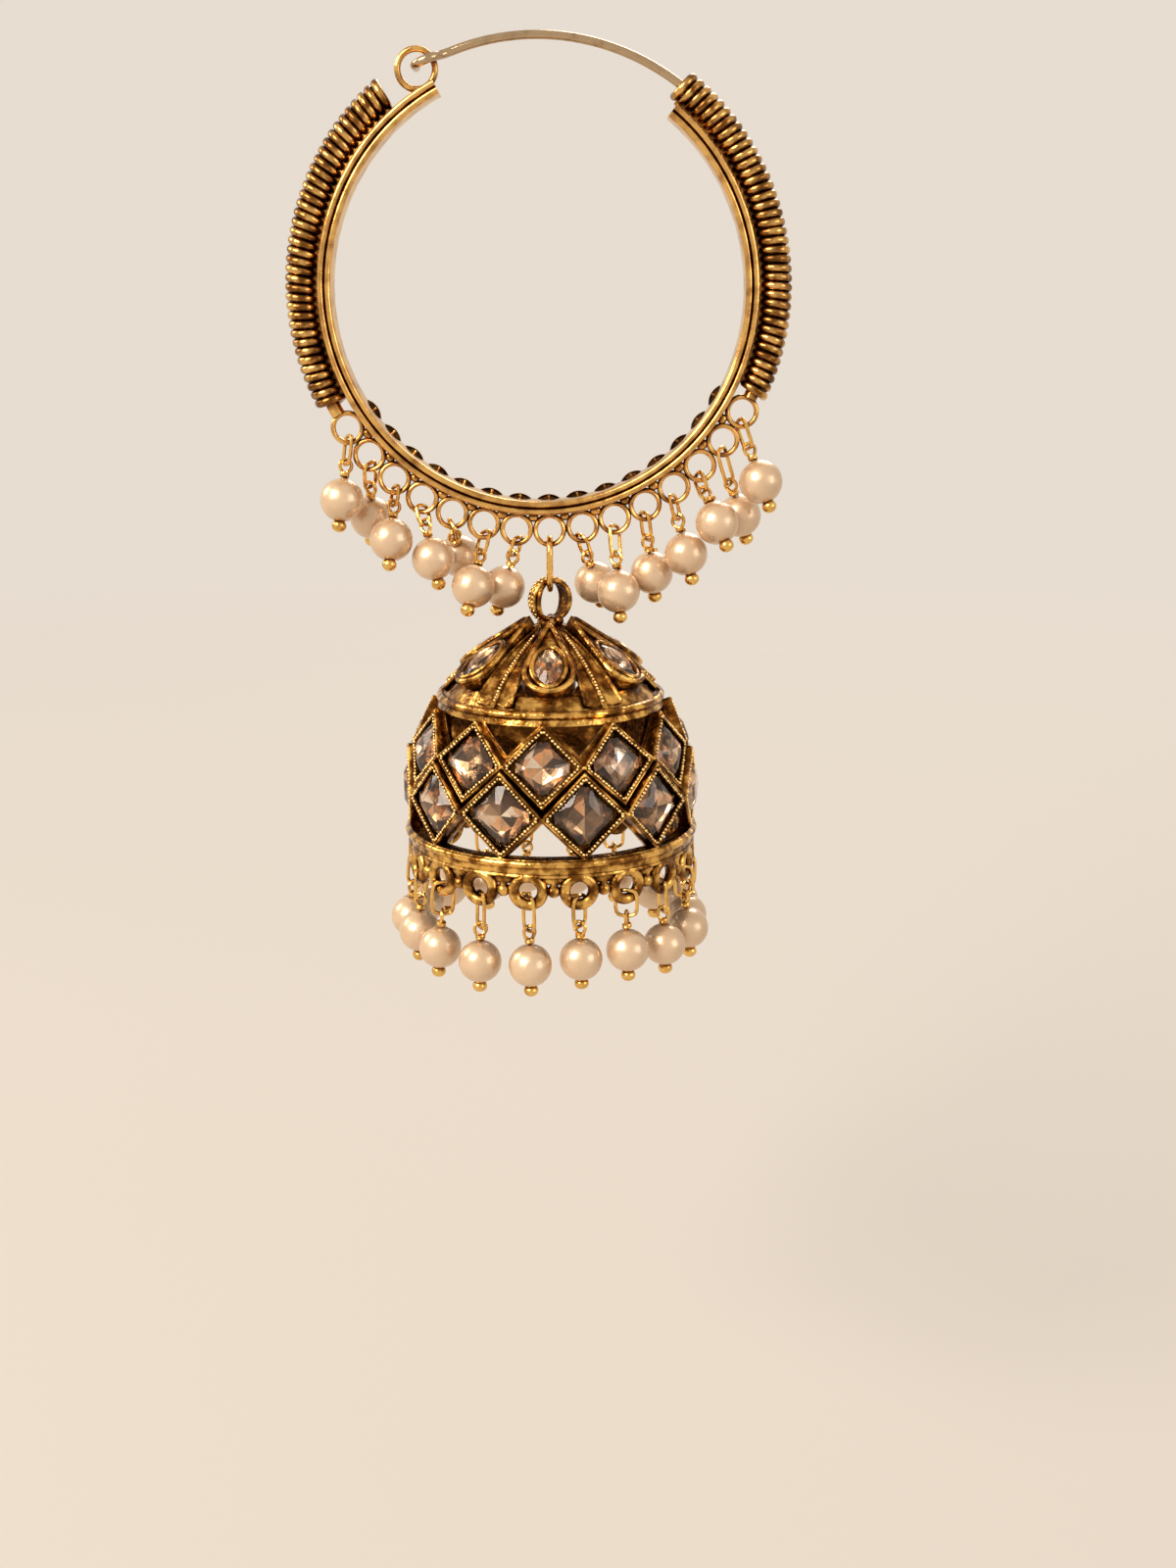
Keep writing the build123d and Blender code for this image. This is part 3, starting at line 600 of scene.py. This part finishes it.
def make_hoop():
    """The band, rods and seams, the catch ring, and the row of rings with its leaves and solder."""
    hoop = bmesh.new()
    add_shape(hoop, along_hoop(band_section(), *BAND_ENDS, 200))
    for ends in (ROD_LEFT, ROD_RIGHT):
        add_shape(hoop, along_hoop(rod_section(), *ends, 60))
    for first, last in (COIL_LEFT, COIL_RIGHT):
        add_shape(hoop, along_hoop(SEAM_SECTION, first + SEAM_SHORT, last - SEAM_SHORT, 60))
    catch = oval_ring(CATCH_RADIUS, CATCH_WIRE / 2, CATCH_WIRE / 2)
    add_shape(hoop, catch, hoop_place(CATCH_ANGLE, HOOP_RADIUS))
    ring = oval_ring(RING_RADIUS, RING_THICK, RING_WIDE)
    for number in range(1, RING_COUNT + 1):
        angle = ring_angle(number)
        tip = Matrix.Rotation(radians(chance.uniform(-RING_TIP, RING_TIP)), 4, "X")
        tip = tip @ Matrix.Rotation(radians(chance.uniform(-RING_TIP, RING_TIP)), 4, "Y")
        flat = Matrix.Diagonal((1, 1, chance.uniform(0.75, 1.0), 1))
        add_shape(hoop, ring, hoop_place(angle, RING_ROW) @ tip @ flat)
        behind = -BAND_BACK - SCALLOP_THICK
        add_shape(hoop, scallop(), hoop_place(angle, SCALLOP_CENTRE, behind))
    solder = ball(SOLDER_BEAD)
    for number in range(1, RING_COUNT):
        size = chance.uniform(0.9, 1.12)
        place = hoop_place(ring_angle(number + 0.5), SOLDER_ROW, chance.uniform(-0.1, 0.1))
        add_shape(hoop, solder, place @ Matrix.Diagonal((size, size * 1.15, size * 0.9, 1)))
    return finish_piece(hoop, "soldered_hoop", "hoop", HOOP_GOLD, ["hoop_frame"])


def make_coil(ends, name, node):
    """One wire wound in a helix, then bent along the hoop."""
    wire_radius, sides, steps_a_turn = COIL_WIRE * 0.49, 10, 20
    length = radians(ends[1] - ends[0]) * HOOP_RADIUS
    turns = length / COIL_WIRE
    coil = bmesh.new()
    made = bmesh.ops.create_circle(coil, cap_ends=True, segments=sides, radius=wire_radius)
    bmesh.ops.rotate(coil, verts=made["verts"], matrix=Matrix.Rotation(radians(90), 3, "X"))
    bmesh.ops.translate(coil, vec=(COIL_RADIUS, 0, 0), verts=made["verts"])
    steps = int(turns * steps_a_turn)
    bmesh.ops.spin(
        coil, geom=coil.verts[:] + coil.edges[:] + coil.faces[:], cent=(0, 0, 0), axis=(0, 0, 1),
        dvec=(0, 0, length / steps), angle=2 * pi * turns, steps=steps, use_duplicate=False,
    )
    for vertex in coil.verts:
        angle = ends[0] + degrees(vertex.co.z / HOOP_RADIUS)
        vertex.co = on_hoop(angle, HOOP_RADIUS + vertex.co.x, vertex.co.y)
    bmesh.ops.contextual_create(coil, geom=[e for e in coil.edges if e.is_boundary])
    return finish_piece(coil, name, "hoop", COIL_GOLD, [node], crease=60)


make_hoop()
make_coil(COIL_LEFT, "wound_coil_left", "coil_left")
make_coil(COIL_RIGHT, "wound_coil_right", "coil_right")


# ---------------------------------------------------------------- pearl drops
def oval_link(length, width, hook):
    """An oval wire link whose top hooks over a wire at the origin."""
    top = hook + GAP + LINK_WIRE / 2
    low = top - length
    half = width / 2
    side, bow, bend, over = half * 0.98, half * 0.72, half * 0.45, 0.04
    level = (top + low) / 2
    points = [
        (side, 0, level), (side, 0, top - bend), (bow, 0, top + over),
        (-bow, 0, top + over), (-side, 0, top - bend), (-side, 0, level),
        (-side, 0, low + bend), (-bow, 0, low - over), (bow, 0, low - over),
        (side, 0, low + bend),
    ]
    return wire(points, LINK_WIRE / 2, closed=True)


def head_pin(length, hook, tail):
    """A ball-ended wire up through the pearl, looped, wrapped round its own neck and cut."""
    thin = PIN_WIRE * 0.42
    eye_from, eye_sweep, eye_steps = -60, 300, 9
    wraps, wrap_steps, wrap_radius = 2.2, 8, PIN_NECK * 0.62
    ball_size, ball_drop = PIN_BALL * 0.94, PIN_BALL * 0.5
    centre = pearl_centre(length, hook)
    foot, neck = centre - PEARL_RADIUS, centre + PEARL_RADIUS
    eye = neck + PIN_NECK + PIN_EYE
    points = [(0, 0, foot - 0.1), (0, 0, centre), (0, 0, neck), (0, 0, neck + PIN_NECK * 0.6)]
    for step in range(eye_steps + 1):
        turn = radians(eye_from + eye_sweep * step / eye_steps)
        points.append((0, PIN_EYE * cos(turn), eye + PIN_EYE * sin(turn)))
    for step in range(int(wraps * wrap_steps)):
        turn = radians(200) + 2 * pi * step / wrap_steps
        height = neck + PIN_NECK - 0.05 - (PIN_NECK - 0.2) * step / (wraps * wrap_steps)
        points.append((wrap_radius * sin(turn), wrap_radius * cos(turn), height))
    points.append([spot + reach for spot, reach in zip(points[-1], tail)])
    shape = wire(points, thin, smooth=3)
    knob = ball(ball_size, 16, 10, 0.86)
    add_shape(shape, knob, Matrix.Translation((0, 0, foot - ball_drop)))
    return shape


def round_pearl(length, hook):
    """A pearl, slightly out of round, dimpled where the pin goes through."""
    swell, ripple, dimple, dimple_from, shrink = 0.006, 0.003, 0.05, 0.975, 0.994
    shape = ball(PEARL_RADIUS, 40, 26)
    seed = Vector((chance.uniform(0, 50), chance.uniform(0, 50), chance.uniform(0, 50)))
    for vertex in shape.verts:
        way = vertex.co.normalized()
        size = 1 + swell * noise.noise(way * 1.6 + seed) + ripple * noise.noise(way * 4 + seed)
        size -= dimple * max(0.0, (abs(way.z) - dimple_from) / (1 - dimple_from))
        vertex.co = way * PEARL_RADIUS * size * shrink
    bmesh.ops.translate(shape, vec=(0, 0, pearl_centre(length, hook)), verts=shape.verts)
    return shape


def make_drops(family, drops, place_of, width, hook, face_on, tails):
    """All the drops of one body. face_on turns each link further round than its seat does."""
    links, pins = bmesh.new(), bmesh.new()
    for number, (seat, length, sideways, forward, turn) in enumerate(drops, start=1):
        more = face_on if turn > 0 else -face_on
        place = place_of(seat, sideways, forward, turn + more)
        swing = chance.uniform(0, 2 * pi)
        reach = chance.choice((0.25, 0.35, 0.6))
        tail = (reach * sin(swing), reach * cos(swing), chance.uniform(-0.1, 0.4))
        tail = tails.get(seat, tail)
        add_shape(links, oval_link(length, width, hook), place)
        add_shape(pins, head_pin(length, hook, tail), place)
        pearl = bmesh.new()
        add_shape(pearl, round_pearl(length, hook), place)
        finish_piece(
            pearl, f"{family}_bead_{number:02d}", family, PEARL,
            [f"{family}_pearl_{number:02d}"], crease=70,
        )
    for shape, name, node in ((links, "oval_links", "links"), (pins, "wrapped_pins", "pins")):
        finish_piece(
            shape, f"{family}_{name}", family, WIRE_GOLD, [f"{family}_{node}"]
        )


make_drops("hoop", HOOP_DROPS, hoop_drop_place, HOOP_LINK_WIDTH, RING_WIDE, 8, {})
make_drops(
    "bell", BELL_DROPS, bell_drop_place, BELL_LINK_WIDTH, EYELET_WIRE / 2, 24, BELL_TAILS
)

# ---------------------------------------------------------------- bell
upper_half = UPPER_FACE * tan(pi / STONES_ROUND)
lower_half = LOWER_FACE * tan(pi / STONES_ROUND)
UPPER_REACH = upper_half + FRAME_OVERLAP
LOWER_REACH = lower_half + FRAME_OVERLAP
upper_places = [
    bell_place(STONE_TURN + STONE_STEP * n, UPPER_FACE, UPPER_ROW, UPPER_SLOPE)
    for n in range(STONES_ROUND)
]
lower_places = [
    bell_place(STONE_TURN + STONE_STEP * (n + 0.5), LOWER_FACE, LOWER_ROW)
    for n in range(STONES_ROUND)
]
petal_places = [
    bell_place(PETAL_STEP * n, PETAL_SEAT, PETAL_HEIGHT, 90 - PETAL_SLOPE)
    for n in range(PETAL_COUNT)
]
FRAMES = [(UPPER_REACH, place) for place in upper_places]
FRAMES += [(LOWER_REACH, place) for place in lower_places]


def hull_of(rings, centre):
    """The hull of rings of corners, each given as (corners, height, size about the centre)."""
    shape = bmesh.new()
    for ring, height, size in rings:
        for corner in ring:
            spot = centre.lerp(corner, size)
            shape.verts.new((spot.x, spot.y, height))
    bmesh.ops.convex_hull(shape, input=shape.verts)
    bmesh.ops.dissolve_limit(shape, angle_limit=radians(0.5), verts=shape.verts, edges=shape.edges)
    bmesh.ops.recalc_face_normals(shape, faces=shape.faces)
    return shape


def sides_of(outline):
    """The corners of an outline and the middles of its sides, as vectors."""
    corners = [Vector((*spot, 0)) for spot in outline]
    return corners, [(a + b) / 2 for a, b in zip(corners, corners[1:] + corners[:1])]


def cut_stone(outline, middle, levels):
    """A stone with a flat foot, a girdle, a ring of facets half a step round and a table."""
    corners, halfway = sides_of(outline)
    (shoulder, shoulder_size), (table, table_size) = levels
    rings = [
        (corners, 0, 1), (corners, GIRDLE, 1), (halfway, shoulder, shoulder_size),
        (corners, table, table_size),
    ]
    return hull_of(rings, Vector((*middle, 0)))


def foil_cup(outline, middle, high):
    """A thin faceted cup of foil inside a stone's foot, open towards the table."""
    corners, halfway = sides_of(outline)
    centre = Vector((*middle, 0))
    fold = FOIL_FOOT + (high - FOIL_FOOT) * FOIL_FOLD_RISE
    rings = [(corners, high, 1), (halfway, fold, FOIL_FOLD_SIZE), ([centre], FOIL_FOOT, 1)]
    cup = hull_of(rings, centre)
    lid = [face for face in cup.faces if face.normal.z > 0.99]
    bmesh.ops.delete(cup, geom=lid, context="FACES_ONLY")
    bmesh.ops.triangulate(cup, faces=cup.faces)
    bmesh.ops.solidify(cup, geom=cup.faces[:], thickness=FOIL_THICK)
    return cup


def square_outline(half):
    """A square on its corner with its corners cut off."""
    side = (half + FRAME_OVERLAP) * sqrt(2) - 2 * (FRAME_WALL + GAP)
    reach = side / sqrt(2)
    cut = STONE_CORNER / sqrt(2)
    points = []
    for n in range(4):
        out = Vector((cos(pi / 2 * n), sin(pi / 2 * n)))
        along = Vector((-out.y, out.x))
        points += [out * (reach - cut) - along * cut, out * (reach - cut) + along * cut]
    return points


def almond(half_wide, half_long, count, height=None):
    """An oval with slightly pointed ends, round the middle of a petal's stone."""
    points = []
    for n in range(count):
        turn = 2 * pi * (n + 0.5) / count
        across = abs(cos(turn)) ** 1.15 * (1 if cos(turn) > 0 else -1)
        spot = (half_wide * across, PETAL_STONE + half_long * sin(turn))
        points.append(spot if height is None else (*spot, height))
    return points


def make_stones(label, outline, middle, levels, places, base, foil_high, reflection_range=(0.0, 1.0)):
    """A row of cut stones, and the foil cups inside them, shrunk to clear the stones' sides."""
    stones, foils = bmesh.new(), bmesh.new()
    shrunk = [[m + (c - m) * FOIL_SIZE for m, c in zip(middle, corner)] for corner in outline]
    for place in places:
        seat = place @ Matrix.Translation((0, 0, base))
        add_shape(stones, cut_stone(outline, middle, levels), seat)
        add_shape(foils, foil_cup(shrunk, middle, foil_high), seat)
    finish_piece(stones, f"{label}_gems", "bell", STONE, [f"{label}_stones"], crease=1)
    finish_piece(foils, f"{label}_foils", "bell", FOIL, crease=1, reflection_range=reflection_range)


for label, half, places in (
    ("upper", upper_half, upper_places), ("lower", lower_half, lower_places),
):
    make_stones(
        label, square_outline(half), (0, 0), SQUARE_LEVELS, places, GAP - FRAME_LIP, SQUARE_FOIL
    )
# The cap's foils draw from the upper part of the range, so their painted reflections are lighter.
make_stones(
    "cap", almond(*CAP_STONE), (0, PETAL_STONE), OVAL_LEVELS, petal_places, CAP_STONE_BASE,
    CAP_FOIL, reflection_range=(0.35, 1.0),
)


def diamond(reach, height):
    """The corners of a square that stands on its corner."""
    corners = ((reach, 0), (0, reach), (-reach, 0), (0, -reach))
    return [Vector((*corner, height)) for corner in corners]


def grain_row(grains, bead, place, path, pitch, wander=0.04):
    """Beads a pitch apart along straight runs between points, none quite in line."""
    for first, second in zip(path, path[1:]):
        count = max(1, round((second - first).length / pitch))
        for step in range(count):
            spot = first.lerp(second, (step + 0.5) / count)
            spot += Vector([chance.uniform(-wander, wander) for _ in range(3)])
            size = chance.uniform(0.75, 1.2)
            add_shape(grains, bead, place @ Matrix.Translation(spot) @ Matrix.Scale(size, 4))


def cap_height(radius):
    """The height of the domed cap at a radius from the bell's axis: an arc through three points."""
    (r1, h1), (r2, h2), (r3, h3) = (0, 0), CAP_SHOULDER, (CAP_RADIUS, -CAP_DEPTH)
    a, b = 2 * (r2 - r1), 2 * (h2 - h1)
    c, d = 2 * (r3 - r1), 2 * (h3 - h1)
    e, f = r2 ** 2 + h2 ** 2 - r1 ** 2 - h1 ** 2, r3 ** 2 + h3 ** 2 - r1 ** 2 - h1 ** 2
    x, y = (e * d - b * f) / (a * d - b * c), (a * f - e * c) / (a * d - b * c)
    return y + sqrt((r1 - x) ** 2 + (h1 - y) ** 2 - (radius - x) ** 2)


def make_milgrain():
    """Rows of tiny beads inside the stone frames, down the ribs of the cap and round the bail."""
    inset, lift, frame_pitch = 0.45, 0.09, 0.46
    rib_stops, rib_pitch = (3.6, 6.0, 8.4, 10.6, 12.4), 0.45
    bail_beads, bail_out = 30, 0.3
    grains = bmesh.new()
    bead = ball(0.21, 6, 4)
    for reach, place in FRAMES:
        corners = diamond(reach - inset * sqrt(2), lift)
        grain_row(grains, bead, place, corners + corners[:1], frame_pitch)
    for n in range(PETAL_COUNT):
        turn = PETAL_STEP * (n + 0.5)
        path = [on_bell(turn, r, cap_height(r) + RIB_HEIGHT) for r in rib_stops]
        grain_row(grains, bead, Matrix.Identity(4), path, rib_pitch)
    for side in (-1, 1):
        ring = bell_place(BAIL_TURN, side * BAIL_WIRE * 0.45, BAIL_HEIGHT)
        out = Matrix.Translation((BAIL_RADIUS + bail_out, 0, 0))
        for n in range(bail_beads):
            around = Matrix.Rotation(2 * pi * n / bail_beads, 4, "Z")
            add_shape(grains, bead, ring @ around @ out)
    return finish_piece(grains, "milgrain", "bell", GRAIN_GLINT_GOLD, crease=80)


def pear_line(inset, height):
    """A smooth path round a petal, inset from its edge, with its point at the top."""
    arc_steps, fill, side_stops = 12, 1.01, (0.35, 0.7, 0.93)
    lean = asin((PETAL_RADIUS - PETAL_TIP) / (PETAL_POINT - PETAL_ROUND))
    radius = PETAL_RADIUS - inset
    peak = Vector((0, PETAL_ROUND + radius / sin(lean), height))
    points = []
    for step in range(arc_steps + 1):
        turn = lean - (pi + 2 * lean) * step / arc_steps
        across, up = radius * cos(turn) * fill, radius * sin(turn) * fill
        points.append(Vector((across, PETAL_ROUND + up, height)))
    left, right = points[-1], points[0]
    points += [left.lerp(peak, stop) for stop in side_stops]
    points += [right.lerp(peak, stop) for stop in reversed(side_stops)]
    return points


def edge_frames(edging):
    """A thin wire round each stone frame, with a knot of solder at three of its corners."""
    line_radius, knot_inset, knot_lift = 0.14, 0.3, 0.02
    for reach, place in FRAMES:
        corners = diamond(reach - line_radius * sqrt(2), 0.0)
        add_shape(edging, wire(corners, line_radius, True, sides=1, order=2, smooth=1), place)
        for corner in diamond(reach - knot_inset, knot_lift)[1:]:
            size = chance.uniform(0.8, 1.2)
            knot = Matrix.Translation(corner) @ Matrix.Diagonal((size, size, 0.8, 1))
            add_shape(edging, ball(0.27, 8, 6), place @ knot)


def join_frames(edging):
    """Small flat spots of solder where the two rows of frames join, one to a joint.

    A straight wire with a single step comes out as one open face, not as a closed strip.
    """
    strip_radius, sunk = 0.3, -0.25
    for n, upper in enumerate(upper_places):
        for side in (-1, 1):
            lower = lower_places[n if side > 0 else n - 1]
            top = upper @ Vector((side * UPPER_REACH, 0, sunk))
            top = (top + lower @ Vector((0, LOWER_REACH, sunk))) / 2
            foot = upper @ Vector((0, -UPPER_REACH, sunk))
            foot = (foot + lower @ Vector((-side * LOWER_REACH, 0, sunk))) / 2
            add_shape(edging, wire([top, foot], strip_radius, sides=1, order=2, smooth=1))


def rim_petals(edging):
    """Each petal's rolled rim, the bezel of its stone, and the floor between them."""
    rim_inset, rim_radius, rim_height = 0.28, 0.34, PETAL_LIP - 0.05
    floor_inset, floor_height, floor_thick = 0.4, 0.12, 0.3
    for place in petal_places:
        rim = wire(pear_line(rim_inset, rim_height), rim_radius, True, smooth=3)
        add_shape(edging, rim, place)
        add_shape(edging, wire(almond(*BEZEL), BEZEL_RADIUS, True, sides=3, smooth=4), place)
        base = bmesh.new()
        base.faces.new([base.verts.new(point) for point in pear_line(floor_inset, floor_height)])
        raise_faces(base, base.faces[:], floor_thick)
        add_shape(edging, base, place)


def make_bell_wires():
    """The thin wires of the bell: on its frames and petals, round its rim and in its bail."""
    edging = bmesh.new()
    edge_frames(edging)
    join_frames(edging)
    rim_petals(edging)
    rim_ring = oval_ring(RIM_RADIUS - 0.12, 0.28, 0.25, 96, 8)
    for height in (RIM_TOP - 0.1, RIM_BOTTOM + 0.2):
        add_shape(edging, rim_ring, Matrix.Translation((BELL_X, 0, APEX + height)))
    bail_loop = oval_ring(BAIL_RADIUS + 0.05, 0.27, 0.27, 32, 8)
    for turn in (-24, 26):
        add_shape(edging, bail_loop, bell_place(BAIL_TURN + turn, 0, BAIL_HEIGHT - 0.1))
    return finish_piece(edging, "frame_edging", "bell", BELL_GOLD)


def make_pleats():
    """The folded sheets between the petals: two ridges that spread from the apex to the rim."""
    start, run, across, down = 2.4, 10.0, 4, 10
    narrow, spread, ridge, lift = 0.45, 1.9, 0.34, 0.06
    wire_steps, wire_lift, wire_radius = 5, 0.42, 0.2
    pleats = bmesh.new()
    for n in range(PETAL_COUNT):
        turn = PETAL_STEP * (n + 0.5)
        along = bell_place(turn, 0, 0).to_3x3().col[0]
        sheet = bmesh.new()
        bmesh.ops.create_grid(sheet, x_segments=across, y_segments=down, size=1)
        for corner in sheet.verts:
            side, share = corner.co.x, (corner.co.y + 1) / 2
            radius = start + run * share
            height = cap_height(radius) + ridge * abs(abs(side) * 2 - 1) + lift
            corner.co = on_bell(turn, radius, height) + along * side * (narrow + spread * share)
        bmesh.ops.solidify(sheet, geom=sheet.faces[:], thickness=0.25)
        add_shape(pleats, sheet)
        for side in (-1, 1):
            line = []
            for step in range(wire_steps + 1):
                share = step / wire_steps
                radius = start + run * share
                spot = on_bell(turn, radius, cap_height(radius) + wire_lift)
                line.append(spot + along * side * (narrow + spread * share))
            add_shape(pleats, wire(line, wire_radius))
    return finish_piece(pleats, "cap_pleats", "bell", BELL_GOLD)


def make_solder():
    """Solder that fills the corners between the rim and the eyelets, and lumps at the apex."""
    solder = bmesh.new()
    blob = ball(1.0)
    for n in range(EYELET_COUNT):
        turn = EYELET_TURN + EYELET_STEP * (n + 0.5)
        size = chance.uniform(0.9, 1.1)
        between = bell_place(turn, EYELET_SEAT, RIM_BOTTOM - 0.35)
        add_shape(solder, blob, between @ Matrix.Diagonal((1.25 * size, 0.62, 0.42, 1)))
        above = bell_place(turn + EYELET_STEP / 2, EYELET_SEAT, RIM_BOTTOM - 0.1)
        add_shape(solder, blob, above @ Matrix.Diagonal((1.1, 0.35 * size, 0.5, 1)))
    lumps, lump_step, lump_turn = 7, 51, 10
    for n in range(lumps):
        out, up = chance.uniform(0.9, 1.5), chance.uniform(0.1, 0.6)
        spot = on_bell(lump_step * n + lump_turn, out, up)
        size = chance.uniform(0.35, 0.6)
        add_shape(solder, blob, Matrix.Translation(spot) @ Matrix.Scale(size, 4))
    return finish_piece(solder, "bell_solder", "bell", BELL_GOLD)


make_milgrain()
make_bell_wires()
make_pleats()
make_solder()

# ---------------------------------------------------------------- floor, light and camera
FLOOR_RADIUS, FLOOR_HEIGHT = 6.0, -0.19         # these sizes, and the lamps', are in metres
FLOOR_FADE_FROM, FLOOR_FADE = 0.20, 1.3
LAMP_AIM = Vector((0, 0, -0.05))
BACKDROP_SEEN, BACKDROP_LIGHT = 1.0, 0.45       # what the eye and gloss see, and what lights
CAMERA_SPOT, CAMERA_TILT = (5.5 * MM, -211.5 * MM, -28.7 * MM), 16.2


def lay_floor():
    """A plain pale disc that fades out before its edge."""
    mesh = bpy.data.meshes.new("floor")
    ground = bmesh.new()
    bmesh.ops.create_circle(ground, cap_ends=True, segments=96, radius=FLOOR_RADIUS)
    bmesh.ops.translate(ground, vec=(0, 0, FLOOR_HEIGHT), verts=ground.verts)
    ground.to_mesh(mesh)
    ground.free()
    floor = bpy.data.objects.new("floor", mesh)
    bpy.context.scene.collection.objects.link(floor)
    finish = Finish("pale floor")
    across = finish.node("ShaderNodeVectorMath", {"operation": "LENGTH"}, {0: finish.place}, 1)
    finish.set(
        Base_Color=rgb(0.62, 0.585, 0.55),
        Roughness=0.75,
        Alpha=1 - ((across - FLOOR_FADE_FROM) * FLOOR_FADE).held(),
    )
    mesh.materials.append(finish.material)


def soft_lamp(name, spot, size, power, colour):
    """A large square lamp that faces the earring and is itself unseen."""
    data = bpy.data.lights.new(name, "AREA")
    data.shape = "SQUARE"
    data.size = size
    data.energy = power
    data.color = colour
    lamp = bpy.data.objects.new(name, data)
    bpy.context.scene.collection.objects.link(lamp)
    lamp.location = spot
    lamp.rotation_euler = (LAMP_AIM - Vector(spot)).to_track_quat("-Z", "Y").to_euler()
    lamp.visible_camera = False


def hang_backdrop():
    """A pale world that shows whole to the eye, in gloss and through glass, and lights less."""
    world = bpy.data.worlds.new("pale room")
    world.use_nodes = True
    bpy.context.scene.world = world
    tree = world.node_tree
    backdrop = tree.nodes["Background"]
    backdrop.inputs["Color"].default_value = rgb(0.80, 0.72, 0.63)
    rays = tree.nodes.new("ShaderNodeLightPath")
    seen = rays.outputs["Is Camera Ray"]
    for ray in ("Is Glossy Ray", "Is Transmission Ray"):
        either = tree.nodes.new("ShaderNodeMath")
        either.operation = "MAXIMUM"
        tree.links.new(seen, either.inputs[0])
        tree.links.new(rays.outputs[ray], either.inputs[1])
        seen = either.outputs[0]
    strength = tree.nodes.new("ShaderNodeMapRange")
    strength.inputs["To Min"].default_value = BACKDROP_LIGHT
    strength.inputs["To Max"].default_value = BACKDROP_SEEN
    tree.links.new(seen, strength.inputs["Value"])
    tree.links.new(strength.outputs[0], backdrop.inputs["Strength"])


def set_camera():
    """The camera in front of the earring and a little above it, looking down."""
    data = bpy.data.cameras.new("camera")
    data.sensor_fit = "VERTICAL"
    data.sensor_height = 24.0
    data.lens = 27.75
    data.shift_y = 0.035
    data.clip_start = 0.005
    camera = bpy.data.objects.new("camera", data)
    camera.location = CAMERA_SPOT
    camera.rotation_euler = (radians(90 - CAMERA_TILT), 0, 0)
    bpy.context.scene.collection.objects.link(camera)
    bpy.context.scene.camera = camera


lay_floor()
soft_lamp("key", (-0.80, -0.85, 0.70), 0.80, 20.0, (1.0, 0.90, 0.78))
soft_lamp("fill", (1.10, -0.70, 0.25), 0.70, 3.5, (1.0, 0.94, 0.88))
soft_lamp("back", (0.30, 1.10, 0.80), 0.60, 9.0, (1.0, 0.94, 0.86))
soft_lamp("side", (-1.20, 0.35, 0.60), 0.60, 6.0, (1.0, 0.88, 0.74))
hang_backdrop()
set_camera()
bpy.context.scene.view_settings.view_transform = "Standard"
